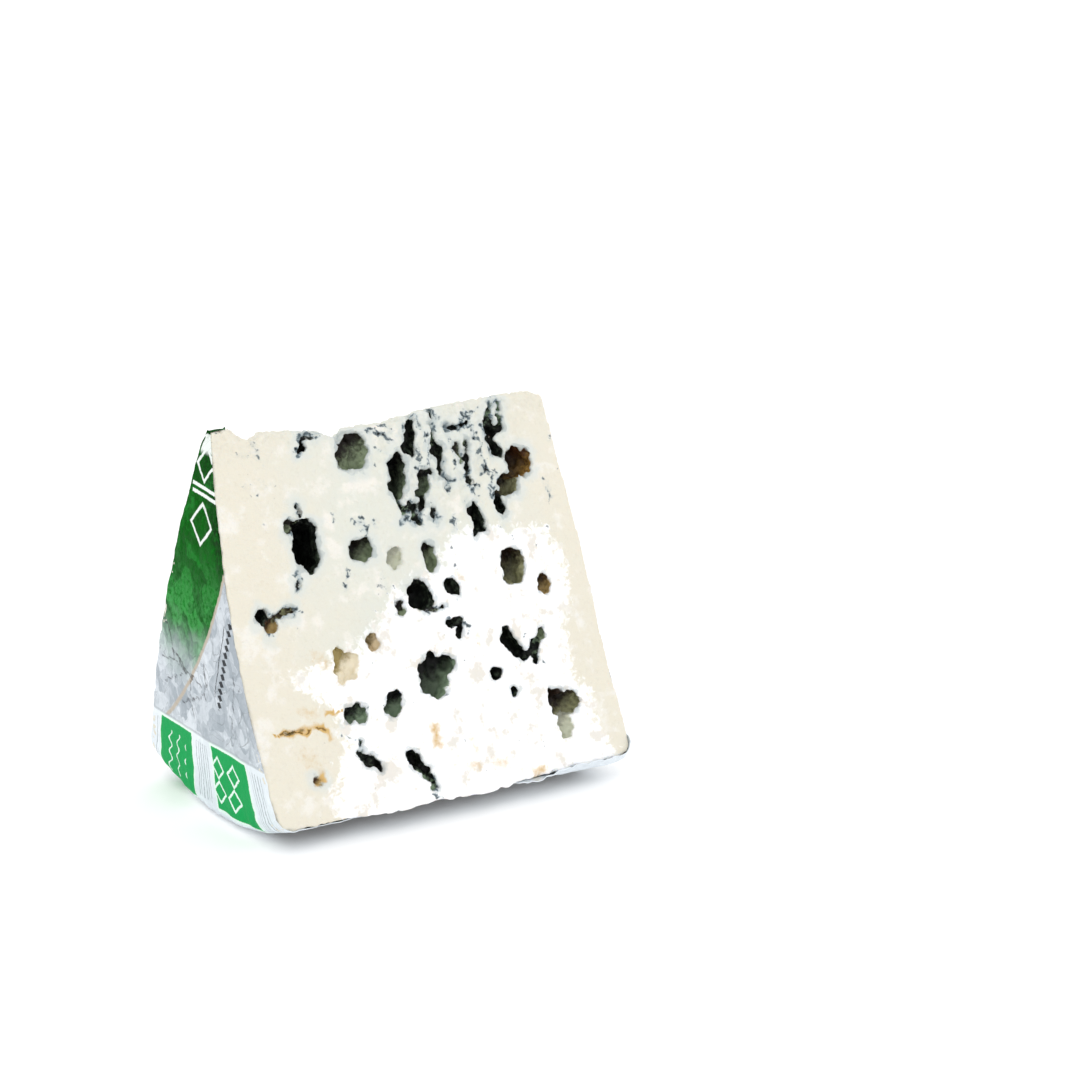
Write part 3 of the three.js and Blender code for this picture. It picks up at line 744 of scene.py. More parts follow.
def crumble(piece):
    """The grain of broken paste: fine on the cut, coarser round the hollows and along the tip"""
    points = points_of(piece)
    shown = cut_faces_shown(points)
    depth = depth_in_paste(points)
    rim = smooth_step(depth, 0.0, 0.6) * (1 - smooth_step(depth, 2.5, 5))
    tip = 1 - smooth_step(TIP_TOP - points[:, 2], 3, 12)
    coarse = np.maximum.reduce([rim, tip, 0.75 * among_crags(points)])
    weights = shown * np.clip(0.16 + 0.84 * coarse, 0, 1)
    group = weigh(piece, "crumbly", weights)
    roughen(piece, noise_texture("crumbs", "CLOUDS", 1.1, noise_depth=2), 0.9, group=group)
    roughen(piece, noise_texture("grains", "VORONOI", 1.5, noise_intensity=1.2), 0.45, group=group)
    points = points_of(piece)
    least_drop = min(drop for at, drop in TIP_BREAKS)
    points[:, 2] = np.minimum(points[:, 2], TIP_TOP - least_drop)
    place_points(piece, points)


def thin_out(piece):
    """Brings the mesh down to its share of triangles, and keeps the small forms"""
    pick(piece)
    piece.data.calc_loop_triangles()
    now = len(piece.data.loop_triangles)
    if now > CHEESE_TRIANGLES:
        modify(piece, "DECIMATE", ratio=CHEESE_TRIANGLES / now)


def near_hollow(x, down, hollow):
    """How far a point is from a hollow's middle, 1 at the mouth's edge, and how far it is towards its
    lower right, the side painted as lit
    """
    middle_x, middle_down, mouth_wide, mouth_tall, deep, lean, lining = hollow
    turn = math.radians(lean)
    across, along = x - middle_x, middle_down - down
    wide = (across * math.cos(turn) - along * math.sin(turn)) / (mouth_wide / 2)
    tall = (across * math.sin(turn) + along * math.cos(turn)) / (mouth_tall / 2)
    away = (np.abs(wide) ** LUMP_SQUARE + np.abs(tall) ** LUMP_SQUARE) ** (1 / LUMP_SQUARE)
    return away, np.clip(0.45 + 0.4 * wide - 0.5 * tall, 0, 1)


def stroke_distance(x, down, stroke):
    """How far each point lies from a stroke of points"""
    least = np.full(len(x), FAR)
    for (x0, y0), (x1, y1) in zip(stroke, stroke[1:]):
        dx, dy = x1 - x0, y1 - y0
        share = np.clip(((x - x0) * dx + (down - y0) * dy) / (dx * dx + dy * dy), 0, 1)
        least = np.minimum(least, np.hypot(x - x0 - share * dx, down - y0 - share * dy))
    return least


def near_stroke(x, down, stroke, width):
    """1 on a stroke of points, falling to 0 past its half width"""
    return 1 - smooth_step(stroke_distance(x, down, stroke), 0.1 * width, 2.2 * width)


def inside_outline(x, down, outline):
    """How far each point lies inside a closed outline, and less than 0 outside it"""
    closed = outline + outline[:1]
    inside = np.zeros(len(x), dtype=bool)
    for (x0, y0), (x1, y1) in zip(closed, closed[1:]):
        if y0 != y1:
            crossing = x0 + (down - y0) / (y1 - y0) * (x1 - x0)
            inside ^= ((y0 > down) != (y1 > down)) & (x < crossing)
    return stroke_distance(x, down, closed) * np.where(inside, 1, -1)


def back_veins(hollows):
    """Short mould veins of the back face, mostly near its hollows"""
    draw = seeded(BACK_SEED + 2)
    strokes = []
    for number in range(BACK_VEINS):
        near = hollows[number % len(hollows)]
        x, down = near[0] + 14 * (next(draw) - 0.5), near[1] + 16 * (next(draw) - 0.5)
        end = (x + 3 * (next(draw) - 0.5), down + 1 + 4 * next(draw))
        strokes.append(([(x, down), end], 0.5 + 0.5 * next(draw), 0.45 + 0.4 * next(draw)))
    return strokes


def hollow_fields(points, depth, x, down, hollow_sets):
    """What the nearest hollow gives each point: its lining, depth, the light and shade painted across
    it, and the halo round its mouth
    """
    mould, tone_and_painted_light, warm, halo = np.zeros((4, len(x)))
    closest, past_mouth, hollow_depth = np.full(len(x), FAR), np.full(len(x), FAR), depth.copy()
    for side, hollows in hollow_sets:
        past_middle = np.maximum(-side * points[:, 1], 0)
        other_face = (past_middle > 0) & (depth < 1)
        side_down = down - 2 * SIN * past_middle
        side_depth = depth + 2 * COS * past_middle
        for hollow in hollows:
            wide, tall, deep, lean, lining = hollow[2:]
            away, lit_lower_right = near_hollow(x, side_down, hollow)
            away[other_face | (side_depth > 1.3 * deep + 1.5)] = FAR
            nearer = away < closest
            closest[nearer] = away[nearer]
            past = (away - 1) * (wide + tall) / 4
            past_mouth[nearer], hollow_depth[nearer] = past[nearer], side_depth[nearer]
            mouldy, lightness, warmth = LININGS[lining]
            mould[nearer], warm[nearer] = mouldy, warmth
            # painted light and shade: lighter towards the hollow's lower right, darker towards its upper
            # left
            tone_and_painted_light[nearer] = lightness * (1.75 * lit_lower_right[nearer] - 0.22)
            halo = np.maximum(halo, mouldy * (1 - smooth_step(past, 0, 3.6)))
    below_tip = TIP_TOP - tip_drop(points[:, 0]) - points[:, 2]
    lined = (1 - smooth_step(past_mouth, 1.3, 2.4)) * smooth_step(below_tip, 0.5, 1.6)
    return {"depth": hollow_depth * lined, "mould": mould, "tone_and_painted_light": tone_and_painted_light, "warm": warm, "halo": halo}


def drawn_marks(x, down, strokes, shown):
    """The strength of the strongest stroke at each point, on the face that shows them"""
    field = np.zeros(len(x))
    for stroke, width, strength in strokes:
        field = np.maximum(field, strength * near_stroke(x, down, stroke, width) * shown)
    return field


def paint_fields(piece, front, back):
    """Where the paste is mouldy or tan, its painted highlight, and the light and shade painted in its
    hollows and in the crags' gaps, as numbers on the vertices
    """
    points = points_of(piece)
    x, down, in_front = points[:, 0], down_slope(points), points[:, 1] < 0
    at = (
        x + 0.45 * ripple(x, down, 2.2, 11) + 0.5 * ripple(x, down, 6, 12),
        down + 0.45 * ripple(x, down, 2.2, 13) + 0.5 * ripple(x, down, 6, 14),
    )
    fields = hollow_fields(points, depth_in_paste(points), *at, ((-1, front), (1, back)))
    # painted shade in the gaps between the crags, carried with the mould stains
    gap_shade = smooth_step(-crags(points), 0.3 * CRAG_HEIGHT, 1.1 * CRAG_HEIGHT) * in_front
    stains = drawn_marks(*at, FRONT_STAINS, in_front)
    veins = drawn_marks(*at, back_veins(back), ~in_front)
    fields["stain_and_gap_shade"] = np.maximum.reduce([stains, veins, 0.68 * gap_shade])
    fields["tan"] = drawn_marks(*at, FRONT_TANS, in_front)
    # the painted highlight: the blown-out white patch of the front face
    fields["painted_highlight"] = smooth_step(inside_outline(*at, PAINTED_HIGHLIGHT), -5, 5) * in_front
    for name, values in fields.items():
        store(piece, name, values)


# The foil


def make_foil():
    """The wrapper: a creased sheet over both flat faces and the rim, open at the cuts"""
    piece = wedge_blank("wrapper", FOIL_STAND, FOIL_SPARE, FOIL_FLOOR)
    modify(piece, "REMESH", mode="VOXEL", voxel_size=FOIL_VOXEL * MM)
    for side in (-1, 1):
        cut(piece, (0, 0, CUTS_MEET + FOIL_PAST_CUT / SIN), (0, side * COS, SIN), fill=False)
    cut(piece, (0, 0, TIP_TOP - FOIL_BELOW_TIP), (0, 0, 1), fill=False)
    tongue = tip_tongue()
    pick(piece)
    tongue.select_set(True)
    bpy.ops.object.join()
    crease(piece)
    return piece


def tip_tongue():
    """A small tongue of foil, bent over the left end of the tip"""
    bpy.ops.object.select_all(action="DESELECT")
    bpy.ops.mesh.primitive_grid_add(x_subdivisions=14, y_subdivisions=6, size=MM)
    piece = bpy.context.object
    along, across = points_of(piece)[:, 0] + 0.5, points_of(piece)[:, 1]
    x = TONGUE["left"] + TONGUE["long"] * along
    y = TONGUE["wide"] * across * (1 - 0.5 * along)
    z = TONGUE["high"] - TONGUE["bent"] * (1 - smooth_step(along, 0, 0.25))
    place_points(piece, np.stack([x, y, z], axis=1))
    return piece


def crease(piece):
    """Folds and crinkles of foil pressed on by hand, then its thickness"""
    points = points_of(piece)
    x, y, z = points.T
    radius = from_axis(points)
    turn = WHEEL_RADIUS * np.arctan2(y, AXIS_HEIGHT - z)
    on_left = x < -AXIS_THICKNESS / 2 + 2
    fold = np.zeros(len(x))
    uneven_y = y + 0.5 * ripple(y, z, 4, 21)
    uneven_z = z + 0.5 * ripple(y, z, 4, 22)
    for stroke in FOIL_FOLDS:
        fold = np.maximum(fold, near_stroke(uneven_y, uneven_z, stroke, FOLD_HALF_WIDTH) * on_left)
    corner = smooth_step(radius, 84, 96) * (1 - smooth_step(radius, 99, 101))
    pleats = corner * (0.5 + 0.5 * ripple(turn, 0.12 * radius, 5, 23))
    outwards = PLEATS * np.clip(pleats, 0, 1) - FOLD_DEPTH * fold
    side = smooth_step(np.abs(x), 44, 50)
    points[:, 0] += np.sign(x) * outwards * side
    edge = 1 - smooth_step(below_cut(points), 0.2, 1.6)
    points[:, 1] += np.sign(y) * edge * (0.28 * ripple(x, z, 3, 24) - 0.1)
    points[:, 2] -= FOIL_RIGHT_LOW * smooth_step(points[:, 2], 88, 98.6) * (points[:, 0] > 0)
    place_points(piece, back_from_edge(points))
    store(piece, "fold", fold)
    roughen(piece, noise_texture("billows", "CLOUDS", 14, noise_depth=1), 0.5)
    folds = noise_texture("folds", "VORONOI", 9, weight_1=-1, weight_2=1, noise_intensity=1.4)
    roughen(piece, folds, 0.5, middle=0.6)
    crinkles = noise_texture("crinkles", "VORONOI", 3.2, weight_1=-1, weight_2=1, noise_intensity=1.4)
    roughen(piece, crinkles, 0.2, middle=0.6)
    modify(piece, "SOLIDIFY", thickness=FOIL_THICK * MM, offset=0, use_even_offset=False)
    points = points_of(piece)
    points[:, 2] = np.maximum(points[:, 2], 0)
    place_points(piece, points)


def back_from_edge(points):
    """Draws the foil back from the front cut, and curls its loose edge at the right of the foot"""
    x, y, z = points.T
    near_cut = (1 - smooth_step(below_cut(points), 0.2, 6)) * (y < 0)
    on_rim = smooth_step(from_axis(points), 92, 97)
    turn = FOIL_BACK["foot"] * near_cut * on_rim * overhang(x) / WHEEL_RADIUS
    straight = FOIL_BACK["right"] * near_cut * smooth_step(x, 38, 46) * (1 - on_rim)
    under = z - AXIS_HEIGHT
    points[:, 1] = y * np.cos(turn) - under * np.sin(turn) + straight
    points[:, 2] = AXIS_HEIGHT + under * np.cos(turn) + y * np.sin(turn)
    depth, foot, right = below_cut(points), (y < 0) * on_rim, smooth_step(x, 22, 32)
    lip = (1 - smooth_step(depth, 0.2, 2)) * foot * smooth_step(x, *OVERHANG_TO)
    curled = right * (1 - smooth_step(depth, 0.2, 1.2)) * foot
    sagging = right * (1 - smooth_step(depth, 1, 5)) * foot
    points[:, 1] -= LIP["out"] * lip
    points[:, 2] -= lip * (1 - right) * (LIP["down"] + 0.5 * ripple(x, z, 3.4, 25))
    points[:, 2] += curled * (LIP["up"] + 0.4 * ripple(x, z, 3.4, 25)) - LIP["sag"] * sagging
    return points


# Materials


def tint(red, green, blue):
    """A colour read off a screen, from 0 to 255, as the light it stands for"""
    lights = []
    for value in (red, green, blue):
        share = value / 255
        lights.append(share / 12.92 if share <= 0.04045 else ((share + 0.055) / 1.055) ** 2.4)
    return (*lights, 1.0)


class Weave:
    """Adds nodes to a material or a node group, and links them"""

    def __init__(self, tree):
        self.tree = tree

    def node(self, kind, **settings):
        made = self.tree.nodes.new(kind)
        for name, value in settings.items():
            setattr(made, name, value)
        return made

    def feed(self, socket, value):
        if isinstance(value, bpy.types.NodeSocket):
            self.tree.links.new(value, socket)
        elif value is not None:
            socket.default_value = value

    def feed_all(self, made, values):
        """Feeds a node's inputs by name, and gives its outputs"""
        for name, value in values.items():
            self.feed(made.inputs[name], value)
        return made.outputs

    def math(self, operation, first, second=None, third=None):
        made = self.node("ShaderNodeMath", operation=operation)
        for socket, value in zip(made.inputs, (first, second, third)):
            self.feed(socket, value)
        return made.outputs[0]

    def add(self, first, *others):
        for other in others:
            first = self.math("ADD", first, other)
        return first

    def less(self, first, second):
        return self.math("SUBTRACT", first, second)

    def times(self, first, *others):
        for other in others:
            first = self.math("MULTIPLY", first, other)
        return first

    def most(self, first, *others):
        for other in others:
            first = self.math("MAXIMUM", first, other)
        return first

    def swing(self, noise, strength):
        """A noise from 0 to 1 as a swing to both sides of 0"""
        return self.math("MULTIPLY_ADD", noise, strength, -strength / 2)

    def distance(self, first, second):
        """How long the straight line is that goes this far in two directions"""
        squares = self.add(self.math("POWER", first, 2.0), self.math("POWER", second, 2.0))
        return self.math("SQRT", squares)

    def step(self, value, low, high, start=0.0, end=1.0):
        """Changes smoothly from start to end as the value goes from low to high"""
        made = self.node("ShaderNodeMapRange", interpolation_type="SMOOTHSTEP")
        for socket, number in zip(made.inputs, (value, low, high, start, end)):
            self.feed(socket, number)
        return made.outputs[0]

    def around(self, value, middle, half, soft):
        """1 within a half width of a middle value, falling to 0 over a soft edge"""
        away = self.math("ABSOLUTE", self.less(value, middle))
        return self.step(away, half - soft, half + soft, 1.0, 0.0)

    def mix(self, share, first, second):
        made = self.node("ShaderNodeMix", data_type="RGBA")
        for number, value in ((0, share), (6, first), (7, second)):
            self.feed(made.inputs[number], value)
        return made.outputs[2]

    def noise(self, places, scale, detail, rough, warp=0.0):
        values = {"Scale": scale, "Detail": detail, "Roughness": rough, "Distortion": warp}
        return self.feed_all(self.node("ShaderNodeTexNoise"), {"Vector": places, **values})[0]

    def three_noises(self, places, scale):
        """Three noises at once, to bend other textures"""
        made = self.node("ShaderNodeTexNoise")
        return self.feed_all(made, {"Vector": places, "Scale": scale})["Color"]

    def facets(self, places, scale):
        """One value for each facet of crumpled foil"""
        made = self.node("ShaderNodeTexVoronoi")
        return self.feed_all(made, {"Vector": places, "Scale": scale})["Color"]

    def field(self, name):
        return self.node("ShaderNodeAttribute", attribute_name=name).outputs["Fac"]

    def millimetres(self):
        """Object coordinates in millimetres, whole and split into x, y and z"""
        places = self.node("ShaderNodeTexCoord").outputs["Object"]
        scaled = self.feed_all(
            self.node("ShaderNodeMapping"), {"Vector": places, "Scale": (1 / MM, 1 / MM, 1 / MM)}
        )[0]
        return scaled, self.feed_all(self.node("ShaderNodeSeparateXYZ"), {"Vector": scaled})

    def use(self, group, **values):
        """Puts a node group in and feeds its inputs by name"""
        return self.feed_all(self.node("ShaderNodeGroup", node_tree=group), values)


def new_group(name, inputs, outputs):
    """An empty node group with named inputs and outputs, given as name and socket type"""
    group = bpy.data.node_groups.new(name, "ShaderNodeTree")
    for label, kind in inputs:
        group.interface.new_socket(name=label, in_out="INPUT", socket_type=kind)
    for label, kind in outputs:
        group.interface.new_socket(name=label, in_out="OUTPUT", socket_type=kind)
    weave = Weave(group)
    return group, weave, weave.node("NodeGroupInput").outputs, weave.node("NodeGroupOutput").inputs


# The sizes of mottle: how many times finer than the broadest, the detail and the roughness
MOTTLES = [
    ("Broad", 1.0, 3.0, 0.6), ("Blotch", 4.6, 4.0, 0.6),
    ("Fine", 26.0, 4.0, 0.65), ("Grain", 75.0, 3.0, 0.6),
]


def mottle_group():
    """Uneven patches at four sizes, from 0 to 1"""
    kind = "NodeSocketFloat"
    group, weave, given, made = new_group(
        "mottle", [("Places", "NodeSocketVector"), ("Size", kind)],
        [(label, kind) for label, finer, detail, rough in MOTTLES],
    )
    for label, finer, detail, rough in MOTTLES:
        scale = weave.math("DIVIDE", finer, given["Size"])
        weave.feed(made[label], weave.noise(given["Places"], scale, detail, rough))
    return group


def relief_group():
    """A bumped normal from a coarse and a fine height"""
    kind = "NodeSocketFloat"
    group, weave, given, made = new_group(
        "relief", [(name, kind) for name in ("Coarse", "Fine", "Strength")],
        [("Normal", "NodeSocketVector")],
    )
    height = weave.math("MULTIPLY_ADD", given["Fine"], 0.5, given["Coarse"])
    values = {"Strength": given["Strength"], "Distance": 0.4 * MM, "Height": height}
    weave.feed(made["Normal"], weave.feed_all(weave.node("ShaderNodeBump"), values)[0])
    return group


def new_material(name):
    material = bpy.data.materials.new(name)
    material.use_nodes = True
    material.node_tree.nodes.clear()
    weave = Weave(material.node_tree)
    shader = weave.node("ShaderNodeBsdfPrincipled")
    output = weave.node("ShaderNodeOutputMaterial")
    weave.feed(output.inputs["Surface"], shader.outputs[0])
    return material, weave, shader


def paste_colour(weave, split, mottle):
    """Ivory paste, greyer in the middle and peach towards the rind"""
    to_rind = weave.times(weave.math("ABSOLUTE", weave.add(split["X"], -2.0)), 1 / 48)
    low = weave.times(weave.less(46.0, split["Z"]), 1 / 75)
    peach = weave.most(to_rind, weave.add(to_rind, low))
    peach = weave.add(peach, weave.swing(mottle["Broad"], 0.7))
    paste = weave.mix(weave.step(peach, 0.35, 1.0), tint(219, 220, 210), tint(225, 220, 205))
    return weave.mix(weave.step(mottle["Blotch"], 0.5, 0.68), paste, tint(233, 230, 222))


def pallor_and_highlight(weave, paste, fine, blotch, crumb):
    """Bluish white where the mould shines through, and the blown-out white patch, a painted highlight"""
    halo, painted_highlight = weave.field("halo"), weave.field("painted_highlight")
    pallor = weave.times(weave.step(weave.add(halo, blotch), 0.62, 1.35), 0.8)
    paste = weave.mix(weave.times(weave.step(fine, 0.5, 0.75), 0.3), paste, tint(206, 200, 186))
    paste = weave.mix(pallor, paste, tint(213, 217, 212))
    # painted highlight: white with torn edges over the patch
    torn = weave.add(painted_highlight, weave.swing(blotch, 1.4), weave.swing(crumb, 1.5))
    off_white = weave.times(weave.step(blotch, 0.54, 0.64), 0.85)
    white = weave.mix(off_white, (1.0, 1.0, 1.0, 1.0), tint(222, 217, 208))
    return weave.mix(weave.step(torn, 0.32, 0.78), paste, white)


def stains(weave, paste, fine, crumb):
    """Grey-blue rims of the hollows, specks and veins of mould, painted shade in the crags' gaps, and
    tan marks
    """
    halo, stain_and_gap_shade, tan = (weave.field(name) for name in ("halo", "stain_and_gap_shade", "tan"))
    rimmed = weave.step(weave.add(halo, weave.swing(crumb, 0.4)), 0.84, 1.04)
    paste = weave.mix(weave.times(rimmed, 0.5), paste, tint(146, 160, 164))
    flecks = weave.add(stain_and_gap_shade, weave.math("MULTIPLY_ADD", crumb, 2.6, -1.5))
    smudge = weave.step(weave.add(stain_and_gap_shade, weave.math("MULTIPLY_ADD", crumb, 1.2, -0.7)), 0.1, 0.95)
    paste = weave.mix(weave.times(smudge, 0.62), paste, tint(160, 178, 188))
    paste = weave.mix(weave.times(weave.step(flecks, 0.36, 0.66), 0.85), paste, tint(74, 90, 98))
    paste = weave.mix(weave.step(flecks, 0.7, 0.95), paste, tint(14, 18, 18))
    browned = weave.add(tan, weave.swing(fine, 0.6))
    paste = weave.mix(weave.step(browned, 0.25, 0.95), paste, tint(208, 174, 112))
    return weave.mix(weave.step(browned, 1.05, 1.5), paste, tint(134, 104, 54))


def line_hollows(weave, paste, fine, grain):
    """Mould, or bare paste, on the walls of the hollows, painted lit towards their lower right, shaded
    towards their upper left, and darker with painted shade further in
    """
    depth, mould, tone_and_painted_light, warm = (weave.field(name) for name in ("depth", "mould", "tone_and_painted_light", "warm"))
    wall = weave.step(weave.math("MULTIPLY_ADD", grain, 0.8, depth), 0.85, 1.5)
    # the mould's mottle plus the painted light and shade across the hollow
    fur_and_painted_light = weave.add(weave.swing(fine, 1.2), tone_and_painted_light)
    dark = weave.mix(weave.step(fur_and_painted_light, 0.02, 0.9), tint(4, 7, 5), tint(122, 142, 116))
    brown = weave.mix(weave.step(fur_and_painted_light, 0.0, 0.9), tint(62, 30, 4), tint(176, 140, 72))
    lining = weave.mix(warm, dark, brown)
    # painted shade: the lining darker deeper inside the hollow
    lining = weave.mix(weave.times(weave.step(depth, 1.5, 7.0), 0.8), lining, tint(10, 12, 12))
    sallow = weave.mix(weave.step(fur_and_painted_light, 0.05, 0.9), tint(160, 144, 92), tint(236, 228, 206))
    bare = weave.mix(warm, tint(206, 212, 198), sallow)
    return weave.mix(wall, paste, weave.mix(mould, bare, lining))


def cheese_material(groups):
    material, weave, shader = new_material("blue_cheese_paste")
    places, split = weave.millimetres()
    mottle = weave.use(groups["mottle"], Places=places, Size=28.0)
    fine, grain = mottle["Fine"], mottle["Grain"]
    crumb = weave.noise(places, 0.55, 2.0, 0.6, 0.4)
    paste = paste_colour(weave, split, mottle)
    paste = pallor_and_highlight(weave, paste, fine, mottle["Blotch"], crumb)
    paste = stains(weave, paste, fine, crumb)
    relief = weave.use(groups["relief"], Coarse=fine, Fine=grain, Strength=0.4)
    weave.feed_all(shader, {
        "Base Color": line_hollows(weave, paste, fine, grain),
        "Roughness": weave.step(fine, 0.3, 0.7, 0.48, 0.68),
        "Subsurface Weight": 0.2,
        "Subsurface Radius": (1.0, 0.8, 0.6),
        "Subsurface Scale": 1.0 * MM,
        "Specular IOR Level": 0.25,
        "Normal": relief["Normal"],
    })
    return material


class Print:
    """Masks for what is printed on the foil, from places on a face in millimetres"""

    def __init__(self, weave, y, z):
        self.weave, self.y, self.z = weave, y, z

    def lozenge(self, y, z, half_y, half_z, stroke):
        """A lozenge's outline, its stroke given as a share of its size"""
        weave = self.weave
        across = weave.times(weave.math("ABSOLUTE", weave.less(self.y, y)), 1 / half_y)
        up = weave.times(weave.math("ABSOLUTE", weave.less(self.z, z)), 1 / half_z)
        return weave.around(weave.add(across, up), 1.0, stroke, 0.04)

    def bar(self, y, z, turn, half_long, half_thin):
        """A straight bar, turned from the y axis"""
        along, across = self.turned(y, z, turn)
        long = self.weave.around(along, 0.0, half_long, 0.1)
        return self.weave.times(long, self.weave.around(across, 0.0, half_thin, 0.1))

    def turned(self, y, z, turn):
        """Distances along and across a direction, from a place"""
        weave = self.weave
        dy, dz = weave.less(self.y, y), weave.less(self.z, z)
        c, s = math.cos(math.radians(turn)), math.sin(math.radians(turn))
        along = weave.add(weave.times(dy, c), weave.times(dz, s))
        across = weave.less(weave.times(dz, c), weave.times(dy, s))
        return along, across

    def under_cut(self, side):
        """How deep a place lies under a knife cut, the front one at -1 and the back one at 1"""
        drop = self.weave.times(self.weave.less(CUTS_MEET, self.z), SIN)
        return self.weave.less(drop, self.weave.times(self.y, side * COS))


# The green field of the label: a circle's centre and radius, and where it fades, from the tip
GREEN_CENTRE = (76.5, 102.9)
GREEN_RADIUS = 98.2
GREEN_FADE = (48, 70)

# The green panels of the lower band: first and last angle about the axis, then the foot's height,
# the height that both reach, and the middles of the second one's lozenges
PANELS = [(5.6, 18.0, 2.2), (-15.2, -2.6, 3.6)]
PANEL_TOP = 20.0
PANEL_LOZENGES = [(-6.4, 14.8), (-6.4, 8.4), (-14.6, 14.8), (-14.6, 8.4)]

# Where the band has hairlines instead: the middle and half width in degrees about the axis
HAIRLINES = [(1.5, 2.6), (-18.2, 1.7), (19.6, 0.7)]


def green_field(weave, draw, radius, mottle):
    """The label's green field: where it is, its green, and its tan rim"""
    away = weave.distance(weave.less(draw.y, GREEN_CENTRE[0]), weave.less(draw.z, GREEN_CENTRE[1]))
    inside = weave.step(away, GREEN_RADIUS - 0.4, GREEN_RADIUS + 0.2, 1.0, 0.0)
    patchy = weave.add(radius, weave.swing(mottle["Blotch"], 14.0))
    share = weave.times(inside, weave.step(patchy, *GREEN_FADE, 1.0, 0.0))
    green = weave.mix(weave.step(patchy, 24, 50), tint(4, 84, 8), tint(64, 150, 76))
    shaded = weave.step(draw.under_cut(-1), 1.5, 6.5, 1.0, 0.0)
    shaded = weave.times(shaded, weave.step(draw.z, 58.0, 72.0), 0.85)
    green = weave.mix(shaded, green, tint(0, 36, 2))
    green = weave.mix(weave.step(mottle["Fine"], 0.4, 0.7), green, tint(4, 104, 18))
    green = weave.mix(weave.times(weave.step(mottle["Blotch"], 0.52, 0.68), 0.55), green, tint(0, 84, 8))
    rim = weave.times(weave.around(away, GREEN_RADIUS, 0.55, 0.25), weave.step(radius, 28, 34))
    return inside, share, green, rim


def field_shapes(weave, draw):
    """The white shapes in the green field, and the pale corner at the tip"""
    corner = weave.times(
        weave.step(draw.under_cut(1), 0.45, 0.8),
        weave.step(draw.z, 92.4, 94.0),
        weave.step(draw.z, 97.6, 97.9, 1.0, 0.0),
    )
    return weave.most(
        draw.lozenge(-0.4, 75.6, 5.6, 5.0, 0.11),
        draw.bar(-1.6, 84.6, 5, 7.0, 0.45),
        draw.bar(-1.6, 82.8, 5, 7.0, 0.45),
        draw.lozenge(-0.8, 90.4, 4.4, 4.2, 0.13),
        corner,
    )


def bead_row(weave, draw):
    """A row of black beads with a rule beside it"""
    along, across = draw.turned(-18.0, 55.0, -71.0)
    beads = weave.less(weave.math("PINGPONG", along, 2.1), 1.05)
    beads = weave.add(weave.math("ABSOLUTE", beads), weave.times(weave.math("ABSOLUTE", across), 0.75))
    beads = weave.times(weave.step(beads, 0.85, 1.05, 1.0, 0.0), weave.around(along, 13.0, 12.6, 0.1))
    rule = weave.times(weave.around(across, 2.6, 0.16, 0.08), weave.around(along, 13.0, 10.4, 0.1))
    return weave.most(beads, rule)


def panel(weave, draw, turn, sides, past_sides, past_ends):
    """A panel of the lower band, grown by an edge in degrees and in millimetres"""
    first, last, foot = sides
    wide = weave.around(turn, (first + last) / 2, (last - first) / 2 + past_sides, 0.08)
    tall = weave.around(draw.z, (PANEL_TOP + foot) / 2, (PANEL_TOP - foot) / 2 + past_ends, 0.12)
    return weave.times(wide, tall)


def band_print(weave, draw, turn):
    """The lower band: green panels, their white edges and shapes, and hairlines between them"""
    green = weave.most(*(panel(weave, draw, turn, sides, 0, 0) for sides in PANELS))
    edges = weave.most(*(panel(weave, draw, turn, sides, 0.5, 0.8) for sides in PANELS))
    waves = weave.times(weave.math("SINE", weave.times(draw.z, 1.6)), 0.5)
    lines = weave.math("PINGPONG", weave.add(turn, waves, 40.0), 1.6)
    waved = weave.times(weave.around(turn, 11.8, 3.6, 0.1), weave.around(draw.z, 11.2, 6.0, 0.1))
    shapes = weave.most(
        weave.times(weave.step(lines, 0.12, 0.24, 1.0, 0.0), waved),
        *(draw.lozenge(*place, 3.0, 2.8, 0.16) for place in PANEL_LOZENGES),
    )
    hair = weave.step(weave.math("PINGPONG", weave.add(turn, 40.0), 0.42), 0.06, 0.16, 1.0, 0.0)
    strips = weave.most(*(weave.around(turn, middle, half, 0.1) for middle, half in HAIRLINES))
    hair = weave.times(hair, strips, weave.around(draw.z, 11.4, 7.6, 0.2))
    return green, edges, weave.times(shapes, green), hair


def crumpled(weave, places):
    """A value for each facet of the crumpled foil, used to paint the facets lighter and darker as light
    falls on them, and a finer crinkle
    """
    crinkle = weave.noise(places, 0.34, 5.0, 0.7, 1.2)
    bent = weave.node("ShaderNodeVectorMath", operation="MULTIPLY_ADD")
    bend = weave.three_noises(places, 0.12)
    for socket, value in zip(bent.inputs, (bend, (14.0, 14.0, 14.0), places)):
        weave.feed(socket, value)
    broad, small = (weave.facets(bent.outputs[0], scale) for scale in (0.12, 0.3))
    return weave.add(broad, weave.times(small, 0.6), weave.swing(crinkle, 1.2)), crinkle


def print_label(weave, draw, colour, facet_shading, radius, face, mottle):
    """The green field with its tan rim and white shapes, its facets painted lighter and darker, and the
    beads beside it
    """
    inside, share, green, rim = green_field(weave, draw, radius, mottle)
    field = weave.times(share, face)
    white = weave.times(field_shapes(weave, draw), inside, face)
    # painted light and shade: the green darker on some facets, with a painted sheen on others
    green = weave.mix(weave.times(weave.step(facet_shading, 0.3, 1.1, 1.0, 0.0), 0.6), green, tint(0, 62, 4))
    green = weave.mix(weave.times(weave.step(facet_shading, 0.95, 1.35), 0.3), green, tint(50, 156, 66))
    colour = weave.mix(field, colour, green)
    colour = weave.mix(weave.times(rim, face), colour, tint(190, 180, 166))
    colour = weave.mix(white, colour, tint(236, 242, 238))
    colour = weave.mix(weave.times(bead_row(weave, draw), face, 0.92), colour, tint(22, 24, 28))
    return colour, field


